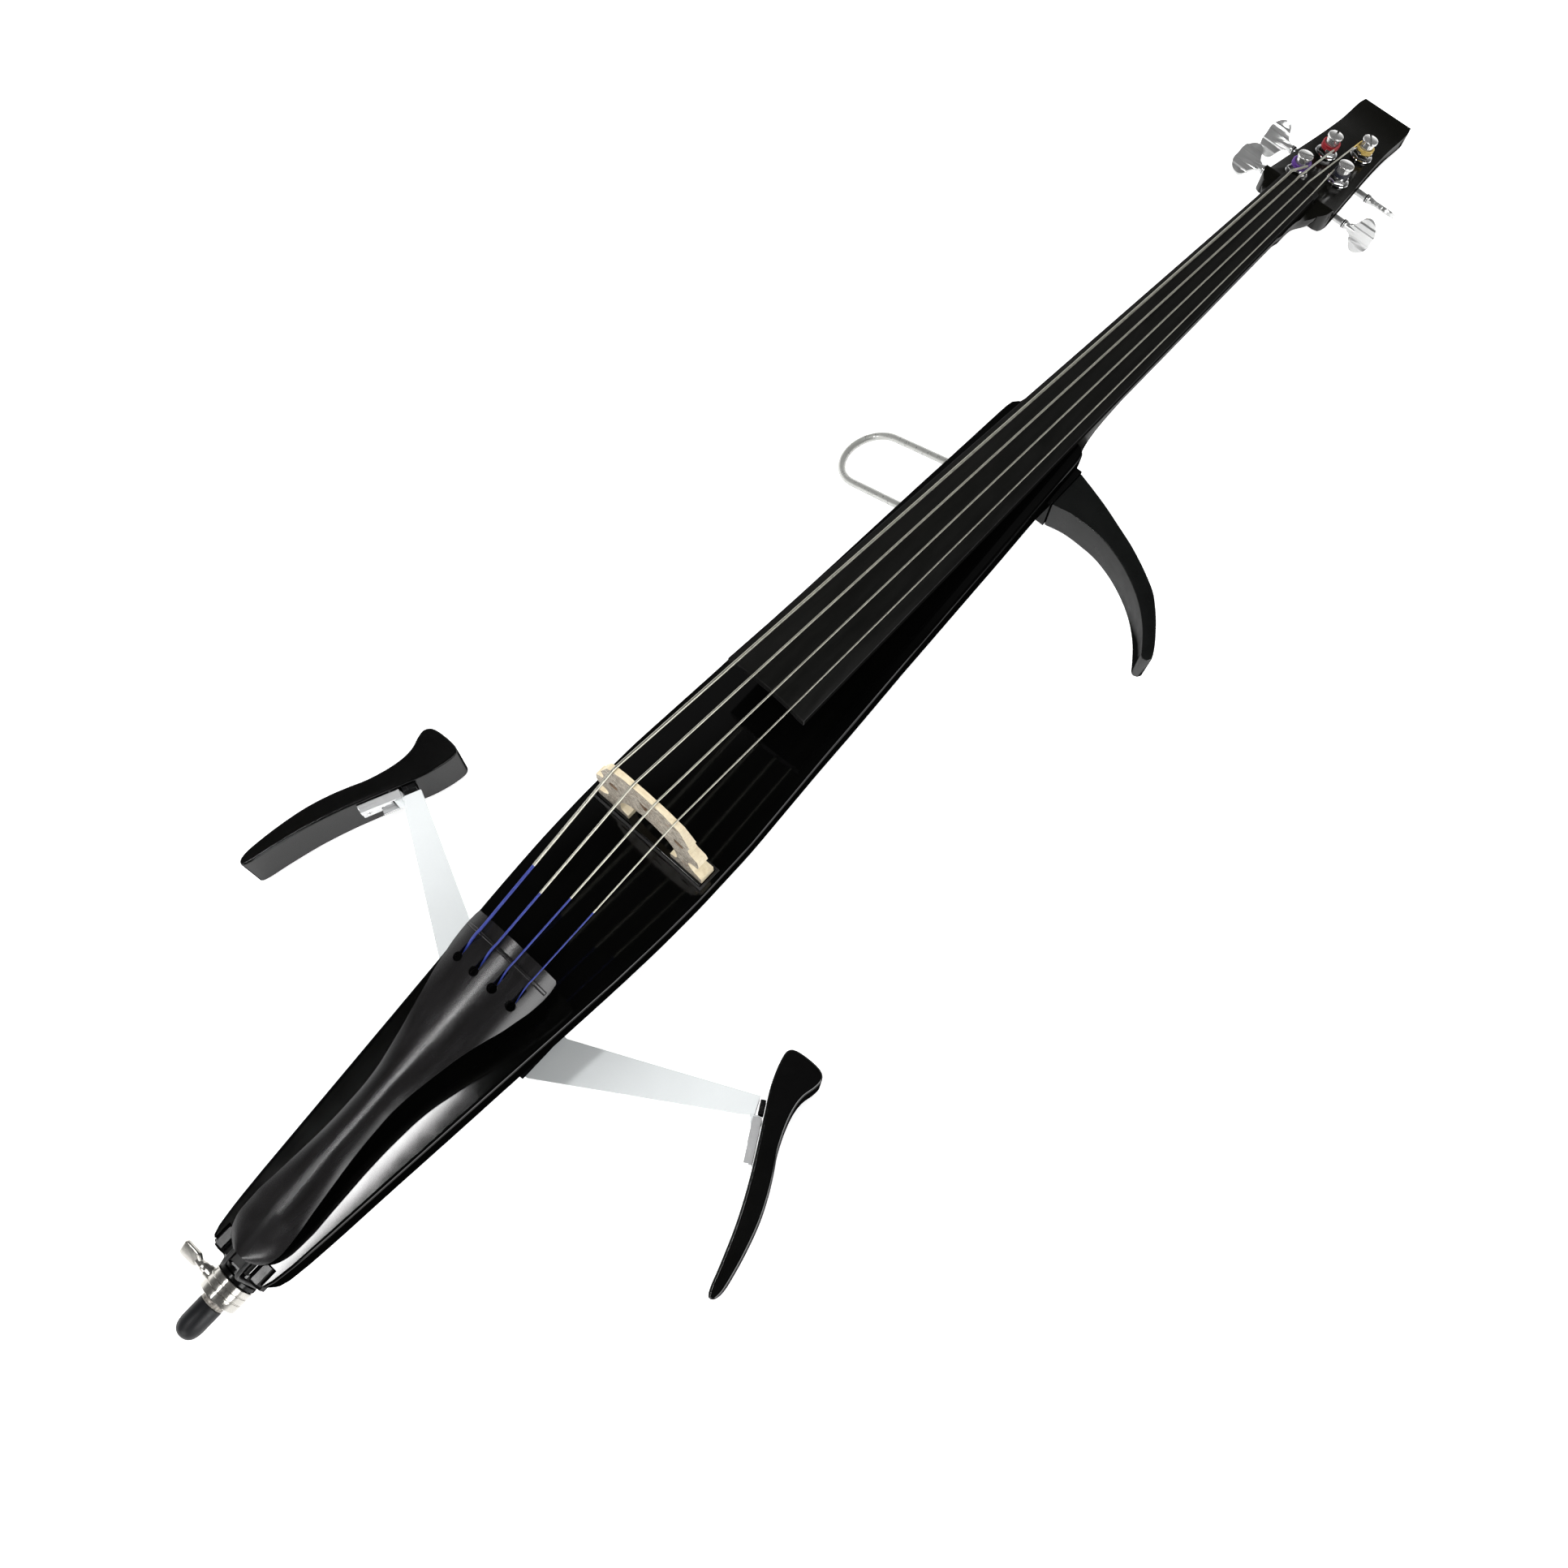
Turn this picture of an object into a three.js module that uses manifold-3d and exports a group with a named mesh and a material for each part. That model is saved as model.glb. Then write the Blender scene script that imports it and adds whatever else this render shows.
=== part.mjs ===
// Electric cello with a narrow hollow body, lying on its back as it rests on a floor.
// Millimetres, +Z up. The model is laid out in the bridge frame: x to the treble side, y toward the
// head, z up, zero on the body top under the middle of the bridge. The outer group then moves the
// origin to the middle of the footprint, on the surface that the knee pads and the head rest on.
import * as THREE from 'three';
import { mergeVertices } from 'three/addons/utils/BufferGeometryUtils.js';
import Module from 'manifold-3d';

const wasm = await Module();
wasm.setup();

// ---------------------------------------------------------------- driving dimensions
const BODY_TOP_ABOVE_FLOOR = 102;
const FOOTPRINT_MID = [4.31, 227.8];
const GAP = 0.3;

const STRING_LENGTH = 690;            // bridge to front edge of the nut
const BRIDGE_TOP = 80;                // string plane over the body top at the bridge
const NUT_TOP = -34;                  // string plane at the nut
const STRINGS = [                     // name, x at bridge, drop at bridge, x at nut, drop at nut, radius
  ['c', -23.6, 4.6, -11.2, 1.0, 0.95],
  ['g', -8.0, 0.5, -3.75, 0.1, 0.75],
  ['d', 8.6, 0.6, 4.3, 0.1, 0.60],
  ['a', 23.3, 5.4, 12.1, 1.0, 0.45],
];
// body: half width along its length, wall 4, depth 46 plus a 3.7 back cover
const BODY_W = [[-336, 20.0], [-335, 21.3], [-325, 23.9], [-302, 26.8], [-259, 30.6], [-214, 34.8], [-169, 38.8],
  [-122, 43.0], [-74, 46.9], [-40, 48.8], [-10, 49.5], [25, 49.2], [64, 47.2], [103, 44.9], [136, 43.4],
  [190, 40.3], [240, 38.0], [291, 35.7], [330, 33.6], [360, 32.2], [376, 31.3], [381, 30.4], [384.3, 27.6]];
const SHELL_DEPTH = 46, WALL = 4, TOP_T = 5, COVER_T = 3.7;
const CAVITY = [-321, 371.5];
// fingerboard
const FB_Y = [99, 689.4], FB_HW = [30.3, 15.4], FB_R = 62, FB_EDGE = 6.5, FB_CROWN = 56.2, FB_SLOPE = 0.1545;
// neck and head
const NECK_D = 19, HEEL_Y = 352, HEEL_HW = 19.7, NECK_Y = 384.8;
const HEAD_Y = 690, HEAD_Z = -50.9, HEAD_SLOPE = 0.2537, HEAD_END = 843.5, HEAD_FOOT = 843;
const HEAD_TILT = Math.atan(HEAD_SLOPE);
const headBottom = (y) => -BODY_TOP_ABOVE_FLOOR + HEAD_SLOPE * (HEAD_FOOT - y);
const HEAD_T = (HEAD_Z - headBottom(HEAD_Y)) * Math.cos(HEAD_TILT);
// tuning machines: x, distance along the head plate, side of the key, key shift, key collar, key turn, post height
const TUNERS = [
  ['c', -13.4, 29.0, -1, 9.7, 39.4, 25, 17.2],
  ['g', -9.8, 71.2, -1, 9.7, 37.3, 58, 16.9],
  ['d', 10.9, 93.2, 1, -9.7, 35.8, -33, 16.0],
  ['a', 13.1, 50.3, 1, -9.7, 38.2, 90, 15.4],
];
const POST_R = 5.0, WORM_N = -19.0;
// tailpiece: half width along its length, top edge height
const TP_W = [[-108.3, 29.8], [-109.5, 31.0], [-118, 31.7], [-129, 30.8], [-140, 28.6], [-149, 26.6], [-158, 23.8],
  [-168, 20.9], [-181, 17.7], [-196, 14.6], [-210, 12.2], [-224, 11.2], [-240, 11.4], [-256, 12.3], [-272, 13.8],
  [-288, 15.4], [-302, 16.9], [-314, 17.2], [-322, 15.6], [-328, 11.6], [-331, 6.0]];
const tpCrown = (y) => 55.6 + 0.1963 * (y + 112) + 1.4 * Math.min(1, Math.max(0, (-119 - y) / 60)) - 0.12 * Math.max(0, -300 - y);
const tpDrop = (y, x) => { const w = lerpTable(TP_W, y), q = Math.min(1, Math.abs(x) / w); return w > 20 ? 45 - Math.sqrt(45 * 45 - x * x) : 5.2 * Math.pow(q, 2.2) * Math.min(1, w / 12); };
const SLOT_X = [-20.2, -6.4, 7.8, 21.2];
// knee rests
const PAD_TOP = -61, PAD_BOTTOM = -102, ARM_TOP = -66, ARM_T = 3.5, ARM_PIVOT = [22.5, -141];
const PAD_HINGE = [158.6, -85.2];
const PAD_OUTLINE = [[177.6, -42], [176.9, -48], [174.2, -56], [173.6, -64], [175.4, -76], [180.2, -91.7], [185.4, -103], [190.6, -115.7], [195.4, -131], [198.6, -147.3], [200.8, -165], [201.3, -179],
  [199.6, -184.0], [196.6, -185.0], [194.6, -182.4], [190.7, -165.8], [184.9, -142.5], [177.3, -120.5], [169.8, -101], [160.6, -79.5], [153.4, -62.4], [149.4, -46], [149.4, -39.4], [152.0, -36.6], [163, -35.6], [174.6, -37.8]];
const REST_TURN = { treble: [1.2, 5.0], bass: [0, 0] };   // degrees each rest is set outward at the body and at the pad
// endpin
const PIN_Z = -24, ROD_R = 5, ROD_IN = 62;
// chest loop
const LOOP_R = 2.8, LOOP_Y = [292.3, 340.3], LOOP_SLOPE = 0.434;
// bridge
const FOOT_HALF = 43.0, FOOT_W = 10.8;

// ---------------------------------------------------------------- small geometry helpers
const V = (x, y, z) => new THREE.Vector3(x, y, z);
const lerpTable = (t, y) => {
  if (y <= t[0][0]) return t[0][1];
  for (let i = 1; i < t.length; i++) if (y <= t[i][0]) {
    const a = t[i - 1], b = t[i];
    return a[1] + (b[1] - a[1]) * (y - a[0]) / (b[0] - a[0]);
  }
  return t[t.length - 1][1];
};
function clean(geo) {
  const g = geo.clone();
  for (const k of Object.keys(g.attributes)) if (k !== 'position') g.deleteAttribute(k);
  g.clearGroups();
  return mergeVertices(g, 1e-4);
}
// triangles with the thin ones dropped, wound so that the faces look outward
function outward(geo) {
  const g = clean(geo);
  const pos = g.attributes.position.array, idx = g.index.array;
  const tri = [];
  for (let i = 0; i < idx.length; i += 3) {
    const [a, b, c] = [idx[i], idx[i + 1], idx[i + 2]];
    if (a !== b && b !== c && c !== a) tri.push(a, b, c);
  }
  let vol = 0;
  for (let i = 0; i < tri.length; i += 3) {
    const [a, b, c] = [tri[i] * 3, tri[i + 1] * 3, tri[i + 2] * 3];
    vol += pos[a] * (pos[b + 1] * pos[c + 2] - pos[b + 2] * pos[c + 1])
      - pos[a + 1] * (pos[b] * pos[c + 2] - pos[b + 2] * pos[c])
      + pos[a + 2] * (pos[b] * pos[c + 1] - pos[b + 1] * pos[c]);
  }
  if (vol < 0) for (let i = 0; i < tri.length; i += 3) [tri[i], tri[i + 1]] = [tri[i + 1], tri[i]];
  g.setIndex(tri);
  return g;
}
function solid(geo) {
  const g = outward(geo);
  return new wasm.Manifold(new wasm.Mesh({ numProp: 3, vertProperties: new Float32Array(g.attributes.position.array), triVerts: new Uint32Array(g.index.array) }));
}
function unsolid(m) {
  const mesh = m.getMesh();
  const g = new THREE.BufferGeometry();
  const n = mesh.vertProperties.length / mesh.numProp;
  const p = new Float32Array(n * 3);
  for (let i = 0; i < n; i++) for (let k = 0; k < 3; k++) p[i * 3 + k] = mesh.vertProperties[i * mesh.numProp + k];
  g.setAttribute('position', new THREE.BufferAttribute(p, 3));
  g.setIndex(Array.from(mesh.triVerts));
  return g;
}
// box between two corners
function box(x0, x1, y0, y1, z0, z1) {
  return new THREE.BoxGeometry(x1 - x0, y1 - y0, z1 - z0).translate((x0 + x1) / 2, (y0 + y1) / 2, (z0 + z1) / 2);
}
// polygon extruded along z, y or x
function prismZ(pts, z0, z1) {
  return new THREE.ExtrudeGeometry(new THREE.Shape(pts.map((p) => new THREE.Vector2(p[0], p[1]))),
    { depth: z1 - z0, bevelEnabled: false, steps: 1 }).translate(0, 0, z0);
}
function prismY(pts, y0, y1) {       // pts are x, z
  return prismZ(pts, y0, y1).applyMatrix4(new THREE.Matrix4().set(1, 0, 0, 0, 0, 0, 1, 0, 0, 1, 0, 0, 0, 0, 0, 1));
}
function prismX(pts, x0, x1) {       // pts are y, z
  return prismZ(pts, x0, x1).applyMatrix4(new THREE.Matrix4().set(0, 0, 1, 0, 1, 0, 0, 0, 0, 1, 0, 0, 0, 0, 0, 1));
}
// cylinder between two points
function rod(a, b, r, seg = 16, r2 = r) {
  const d = b.clone().sub(a), g = new THREE.CylinderGeometry(r2, r, d.length(), seg);
  g.applyQuaternion(new THREE.Quaternion().setFromUnitVectors(V(0, 1, 0), d.clone().normalize()));
  const m = a.clone().add(b).multiplyScalar(0.5);
  return g.translate(m.x, m.y, m.z);
}
// turned piece about an axis: profile points are radius, distance
function turned(profile, seg, origin, dir) {
  const g = new THREE.LatheGeometry(profile.map((p) => new THREE.Vector2(p[0], p[1])), seg);
  g.applyQuaternion(new THREE.Quaternion().setFromUnitVectors(V(0, 1, 0), dir.clone().normalize()));
  return g.translate(origin.x, origin.y, origin.z);
}
// body lofted through rings of equal point count: a cylinder grid whose rings are moved into place
function loft(rings) {
  const M = rings.length - 1, N = rings[0].length;
  const g = new THREE.CylinderGeometry(1, 1, 1, N, M);
  const pos = g.attributes.position;
  let k = 0;
  for (let j = 0; j <= M; j++) for (let i = 0; i <= N; i++, k++) {
    const p = rings[j][i % N];
    pos.setXYZ(k, p.x, p.y, p.z);
  }
  for (const j of [0, M]) {
    const c = V(0, 0, 0);
    rings[j].forEach((p) => c.add(p));
    c.multiplyScalar(1 / N);
    for (let i = 0; i < N; i++, k++) pos.setXYZ(k, c.x, c.y, c.z);
    for (let i = 0; i <= N; i++, k++) { const p = rings[j][i % N]; pos.setXYZ(k, p.x, p.y, p.z); }
  }
  return g;
}
// curve through given points, one step for each point
class PointPath extends THREE.Curve {
  constructor(pts) { super(); this.pts = pts; }
  getPoint(t, target = new THREE.Vector3()) {
    const n = this.pts.length - 1, s = Math.min(Math.max(t, 0), 1) * n, i = Math.min(Math.floor(s), n - 1);
    return target.copy(this.pts[i]).lerp(this.pts[i + 1], s - i);
  }
  getUtoTmapping(u) { return u; }
}
function tube(pts, r, sides) {
  const ring = new THREE.Shape();
  for (let i = 0; i < sides; i++) {
    const a = 2 * Math.PI * (i + 0.5) / sides;
    if (i) ring.lineTo(r * Math.cos(a), r * Math.sin(a)); else ring.moveTo(r * Math.cos(a), r * Math.sin(a));
  }
  ring.closePath();
  return new THREE.ExtrudeGeometry(ring, { steps: pts.length - 1, bevelEnabled: false, extrudePath: new PointPath(pts) });
}
const join = (...g) => g.map((x) => (x.getMesh ? x : solid(x))).reduce((a, b) => a.add(b));
const cut = (a, ...g) => g.map((x) => (x.getMesh ? x : solid(x))).reduce((s, b) => s.subtract(b), a.getMesh ? a : solid(a));

const root = new THREE.Group();
root.position.set(-FOOTPRINT_MID[0], -FOOTPRINT_MID[1], BODY_TOP_ABOVE_FLOOR);
function piece(name, geo, color, roughness, metalness = 0, parent = root) {
  const g = geo.getMesh ? unsolid(geo) : outward(geo);
  const mesh = new THREE.Mesh(g, new THREE.MeshStandardMaterial({ color, roughness, metalness }));
  mesh.name = name;
  parent.add(mesh);
  return mesh;
}
const BLACK = 0x08080a, SATIN = 0x131314, EBONY = 0x1b1a1b, MAPLE = 0xd9c49a, CHROME = 0xc9ccd0, ALU = 0xd3d8d9;

// ---------------------------------------------------------------- body shell, cover and end block
const bodyRing = (y, w, dz = 0) => {
  const h = [[w - 3.2, 0], [w - 1, -0.9], [w, -3.2], [w, -14], [0.965 * w, -27], [0.89 * w, -38], [0.8 * w, -SHELL_DEPTH + dz]];
  return [...h.map((p) => V(p[0], y, p[1])), ...h.slice().reverse().map((p) => V(-p[0], y, p[1]))];
};
const bodyW = (y) => lerpTable(BODY_W, y);
const outer = solid(loft(BODY_W.map(([y, w]) => bodyRing(y, w))));
const clearance = solid(loft(BODY_W.map(([y, w]) => bodyRing(y, w + 0.35, -6))));
const cavRing = (y) => {
  const w = bodyW(y), c = w - WALL;
  const h = [[c - 1.5, -TOP_T], [c, -TOP_T - 1.5], [c, -14], [0.965 * w - WALL, -27], [0.89 * w - WALL, -38], [0.8 * w - 3.2, -SHELL_DEPTH - 0.6]];
  return [...h.map((p) => V(p[0], y, p[1])), ...h.slice().reverse().map((p) => V(-p[0], y, p[1]))];
};
const cavYs = [CAVITY[0], ...BODY_W.map((p) => p[0]).filter((y) => y > CAVITY[0] + 4 && y < CAVITY[1] - 4), CAVITY[1]];
const cavity = cut(loft(cavYs.map(cavRing)), box(-60, 60, -20, 18, -14, -4));
const loopDir = V(-1, 0, -LOOP_SLOPE).normalize();
const loopAt = (x, y) => V(x, y, -45 - LOOP_SLOPE * (-x - 41));
const notch = (s) => box(Math.min(s * 9.6, s * 19.4), Math.max(s * 9.6, s * 19.4), -337, -325, -12, 1);
const shell = cut(outer, cavity,
  box(-45.7, 45.7, -9.6, 8.4, -7, 1),                                        // bridge plate pocket
  box(-HEEL_HW - GAP, HEEL_HW + GAP, 370, 386, -44.3, -5.3),                 // neck opening
  rod(V(0, -338, PIN_Z), V(0, -318, PIN_Z), 12.3, 24),                       // endpin plug bore
  notch(1), notch(-1),
  box(-9.3, 9.3, -338, -326.2, -3, 1),                                       // saddle seat
  rod(loopAt(-20, LOOP_Y[0]), loopAt(-45, LOOP_Y[0]), LOOP_R + 0.5, 14),
  rod(loopAt(-20, LOOP_Y[1]), loopAt(-45, LOOP_Y[1]), LOOP_R + 0.5, 14),
  rod(V(20, 349, -20), V(40, 349, -20), 2.9, 12), rod(V(20, 365, -20), V(40, 365, -20), 2.9, 12));
piece('body_shell', shell, BLACK, 0.12);

// back cover: outline follows the shell foot, with openings for the control panel and battery door
const coverPts = [];
for (const [y, w] of BODY_W) coverPts.push([0.8 * w - 0.3, Math.max(y, -335.6)]);
const coverOutline = [...coverPts, ...coverPts.slice().reverse().map((p) => [-p[0], p[1]])];
const PANEL = [-24, 24, 168, 262], DOOR = [-20, 20, 72, 140];
const grow = (b, d) => [b[0] - d, b[1] + d, b[2] - d, b[3] + d];
const CZ = [-SHELL_DEPTH - GAP - COVER_T, -SHELL_DEPTH - GAP];
piece('back_cover', cut(prismZ(coverOutline, CZ[0], CZ[1]), box(...grow(PANEL, 0.4), -55, -40), box(...grow(DOOR, 0.4), -55, -40),
  rod(V(-22.5, -141, -55), V(-22.5, -141, -40), 4.4, 14), rod(V(22.5, -141, -55), V(22.5, -141, -40), 4.4, 14)), BLACK, 0.3);

// end block inside the tail, which carries the endpin plug
piece('end_block', cut(box(-15.5, 15.5, -320.7, -298, -44, -5.4), rod(V(0, -323, PIN_Z), V(0, -296, PIN_Z), 12.3, 24)), 0xb08a5a, 0.7);

// ---------------------------------------------------------------- neck, fingerboard, nut
const fbHw = (y) => FB_HW[0] + (FB_HW[1] - FB_HW[0]) * (y - FB_Y[0]) / (684 - FB_Y[0]);
const fbCrown = (y) => FB_CROWN - FB_SLOPE * (y - FB_Y[0]);
const arc = (x) => Math.sqrt(FB_R * FB_R - x * x) - FB_R;
const fbUnder = (y) => fbCrown(y) + arc(fbHw(y)) - FB_EDGE;
const neckTop = (y) => fbUnder(y) - GAP;
const neckRing = (y, hwTop, hw, d, n, top) => {
  const r = [V(hwTop, y, top)];
  for (let i = 0; i <= 10; i++) {
    const a = Math.PI * i / 10, c = Math.cos(a), sn = Math.sin(a);
    r.push(V(hw * Math.sign(c) * Math.pow(Math.abs(c), 2 / n), y, top - 3 - (d - 3) * Math.pow(sn, 2 / n)));
  }
  r.push(V(-hwTop, y, top));
  return r;
};
const neckRings = [];
const FLARE = [[NECK_Y, 27.0], [390, 26.0], [396, 24.6], [404, 23.3], [414, 22.5], [426, 22.0]];
for (const y of [NECK_Y, 390, 396, 404, 414, 426, 442, 500, 560, 620, 660]) {
  const s = Math.min(1, (y - NECK_Y) / 57), d = NECK_D + (44.2 + neckTop(NECK_Y) - NECK_D) * Math.pow(1 - s, 2.2);
  neckRings.push(neckRing(y, fbHw(y) - GAP, y < 430 ? lerpTable(FLARE, y) : fbHw(y) - 0.2, d, 2.3 + 1.2 * (1 - s), neckTop(y)));
}
for (const [y, hw, d] of [[669, 16.6, 19.4], [675, 18.8, 20.4], [679.5, 21.6, 21.4], [683.5, 23.8, 22], [687.5, 24.8, 22], [691.5, 24.6, 20.5], [696, 24.0, 17.5]])
  neckRings.push(neckRing(y, Math.min(hw, fbHw(y) + 2), hw, d, 2.5, Math.min(neckTop(y), neckTop(690))));
const headSide = [[686, -46], [696.5, neckTop(690)], [699, -47.5], [703, HEAD_Z - HEAD_SLOPE * 13]];
for (const y of [812, 820, 828, 836, HEAD_END]) headSide.push([y, HEAD_Z - HEAD_SLOPE * (y - HEAD_Y) + (y > 812 ? 2.4 * Math.pow((y - 812) / 31, 2) : 0)]);
headSide.push([HEAD_END + 1.2, headBottom(HEAD_END) + 2], [HEAD_FOOT, headBottom(HEAD_FOOT)], [828, headBottom(828)], [690, headBottom(690)], [686, -60]);
const HEAD_W = [[684, 23], [688, 27.0], [692, 29.6], [698, 30.7], [705, 30.4], [724, 28.8], [745, 27.1], [768, 25.2], [789, 23.8], [806, 23.1], [819, 23.2], [830, 23.4], [837, 23.2], [843, 22.0], [848, 21.2]];
const headPlan = [...HEAD_W.map((p) => [p[1], p[0]]), ...HEAD_W.slice().reverse().map((p) => [-p[1], p[0]])];
const head = solid(prismX(headSide, -40, 40)).intersect(solid(prismZ(headPlan, -120, -20)));
const headGroup = new THREE.Group();
headGroup.position.set(0, HEAD_Y, HEAD_Z);
headGroup.rotation.x = -HEAD_TILT;
root.add(headGroup);
const headMat = new THREE.Matrix4().makeRotationX(-HEAD_TILT).setPosition(0, HEAD_Y, HEAD_Z);
const inHead = (g) => g.applyMatrix4(headMat);
const postBores = TUNERS.map(([, x, v]) => inHead(rod(V(x, v, -16), V(x, v, 6), 6.0, 16)));
piece('neck', cut(join(loft(neckRings), box(-HEEL_HW, HEEL_HW, HEEL_Y, 388, -44, -5.6), head), ...postBores), BLACK, 0.16);

const fbRings = [];
for (const y of [FB_Y[0], FB_Y[0] + 0.8, 180, 260, 340, 384.6, 385.6, 470, 560, 640, FB_Y[1]]) {
  const hw = fbHw(y), c = fbCrown(y), kx = -8 * hw / 31, e = c + arc(hw);
  const under = fbUnder(y), hollow = y < 385 ? 1 : 0;
  const top = [[hw, e], [0.8 * hw, c + arc(0.8 * hw)], [0.58 * hw, c + arc(0.58 * hw)], [0.33 * hw, c + arc(0.33 * hw)], [0.05 * hw, c + arc(0.05 * hw)], [kx, c + arc(kx)], [-hw, e]];
  const lift = Math.min(8, Math.max(0.01, (c - 8 - under))) * hollow;
  const low = [[-hw, under], [-0.86 * hw, under + 0.1 * hollow], [-0.55 * hw, under + lift * 0.62], [-0.15 * hw, under + lift], [0.25 * hw, under + lift], [0.6 * hw, under + lift * 0.62], [0.86 * hw, under + 0.1 * hollow], [hw, under]];
  fbRings.push([...top, ...low].map((p) => V(p[0], y, p[1])));
}
piece('fingerboard', loft(fbRings), SATIN, 0.45);

const nutTop = STRINGS.map(([, , , x, d, r]) => [x, NUT_TOP - d - r - GAP - 0.15]);
piece('nut', prismY([[-15.8, neckTop(690) + GAP], [15.8, neckTop(690) + GAP], [15.9, -38.6], nutTop[3], nutTop[2], [0, nutTop[2][1] + 0.02], nutTop[1], nutTop[0], [-15.9, -38.9]],
  FB_Y[1] + 0.4, 695.6), EBONY, 0.35);

// ---------------------------------------------------------------- bridge and its plate
const half = [[17.5, 0], [17.5, 6.4], [19.4, 7.6], [22.6, 9.4], [23.2, 14.5], [22.2, 20.5], [19.4, 27.0], [14.6, 32.2], [8.0, 35.4], [0, 36.6]];
const rightOut = [[FOOT_HALF, 0], [FOOT_HALF, 8.8], [35.6, 12.4], [32.8, 17.5], [33.4, 22.5], [40.6, 26.2], [41.6, 30.5], [40.8, 38.5], [34.8, 42.5], [33.6, 47.5], [35.0, 54.0], [28.2, 71.2]];
const leftOut = rightOut.map((p) => [-p[0], p[1]]);
const crown = STRINGS.map(([, x, d, , , r]) => [x, BRIDGE_TOP - d - r - GAP - 0.15]);
const bridgeOutline = [
  ...half.slice(0, 9).map((p) => [p[0], p[1]]).reverse(),                 // right inner leg, top to foot
  ...rightOut, crown[3], [16, 77.3], crown[2], [0, 79.3], crown[1], [-16, 77.6], crown[0],
  ...leftOut.slice().reverse(), ...half.slice(0, 9).map((p) => [-p[0], p[1]]), [0, half[9][1]]];
const wedge = solid(prismX([[-FOOT_W / 2, -1], [FOOT_W / 2, -1], [FOOT_W / 2, 9], [4.4, 13], [-0.3, 83], [-3.7, 83], [-5.0, 13], [-FOOT_W / 2, 9]], -60, 60));
piece('bridge', solid(prismY(bridgeOutline, -8, 8)).intersect(wedge), MAPLE, 0.55);
piece('bridge_plate', box(-43.5, 43.5, -7.4, 6.2, -4.6, -0.3), BLACK, 0.15);
piece('plate_gasket', cut(box(-45.4, 45.4, -9.3, 8.1, -6.7, 0.4), box(-43.8, 43.8, -7.7, 6.5, -8, 2)), 0x2b2c2e, 0.8);
piece('pickup_strip', box(-40, 40, -4, 4, -6.7, -4.9), 0xb9a46a, 0.4, 0.6);

// ---------------------------------------------------------------- tailpiece, saddle, tail cord
const tpRings = TP_W.map(([y, w]) => {
  const top = [1, 0.86, 0.66, 0.42, 0.15, -0.15, -0.42, -0.66, -0.86, -1].map((q) => V(q * w, y, tpCrown(y) - tpDrop(y, q * w)));
  const e = top[0].z, t = y < -322 ? 3.4 : 5.0;
  return [...top, V(-w, y, e - 1.2), V(-0.9 * w, y, e - t * 0.8), V(-0.5 * w, y, e - t * 0.8 + tpDrop(y, w) * 0.5), V(0.5 * w, y, e - t * 0.8 + tpDrop(y, w) * 0.5), V(0.9 * w, y, e - t * 0.8), V(w, y, e - 1.2)];
});
const slots = [];
SLOT_X.forEach((x) => {
  slots.push(rod(V(x, -135.3, 20), V(x, -135.3, 70), 3.0, 12), box(x - 1.3, x + 1.3, -134, -123.2, 20, 70));
});
const ridgeRings = [-30, -24, -18, -11, -4, 4, 11, 18, 24, 30].map((x) => {
  const z = tpCrown(-117.5) - tpDrop(-117.5, x);
  return [V(x, -119.1, z - 1.5), V(x, -118.4, z + 1.5), V(x, -116.8, z + 1.5), V(x, -116.1, z - 1.5)];
});
piece('tailpiece', cut(join(loft(tpRings), loft(ridgeRings)), ...slots), EBONY, 0.38);
piece('saddle', prismY([[-9, -2.7], [9, -2.7], [9.2, 0.4], [7, 0.8], [-7, 0.8], [-9.2, 0.4]], -337.6, -326.6), EBONY, 0.4);
const cordPts = [];
const side = (s) => [V(s * 5.4, -306, 2.0), V(s * 5.4, -322, 2.3), V(s * 5.4, -337, 2.9), V(s * 5.5, -340.6, 1.6), V(s * 5.9, -342.0, -2.0), V(s * 7.4, -342.3, -8), V(s * 10.6, -342.3, -15.5), V(s * 12.4, -342.3, -21)];
cordPts.push(...side(1));
for (let i = 0; i <= 8; i++) { const a = Math.PI * i / 8; cordPts.push(V(12.7 * Math.cos(a), -342.3, PIN_Z - 12.7 * Math.sin(a))); }
cordPts.push(...side(-1).reverse());
piece('tail_cord', tube(cordPts, 1.3, 6), SATIN, 0.6);

// ---------------------------------------------------------------- endpin
const BACK = V(0, -1, 0);
const plug = turned([[5.5, -28], [12, -28], [12, 13], [11, 13.4], [11, 18], [12.8, 18.6], [12.8, 20.8], [12.2, 21.4], [5.5, 21.4], [5.5, -28]], 18, V(0, -336.3 + 10, PIN_Z), BACK);
const flange = new THREE.Shape();
flange.absarc(0, PIN_Z, 14, Math.PI + 0.5, -0.5, false);
const flangePts = flange.getPoints(10).map((p) => [p.x, p.y]);
flangePts.push([17.5, -17], [19.8, -11.5], [18.6, -6.2], [14.6, -4.2], [10.8, -5.0], [9.4, -3.3], [-9.4, -3.3], [-10.8, -5.0], [-14.6, -4.2], [-18.6, -6.2], [-19.8, -11.5], [-17.5, -17]);
const lug = (s) => prismY([[10.2, -11.6], [19, -11.6], [19, -1.6], [17, 1.2], [12.2, 1.2], [10.2, -1]].map((p) => [s * p[0], p[1]]), -337.0, -325.6);
piece('endpin_plug', cut(join(prismY(flangePts, -339.6, -336.3), plug, lug(1), lug(-1)), rod(V(0, -280, PIN_Z), V(0, -355, PIN_Z), 5.5, 16)), BLACK, 0.2);
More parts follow.
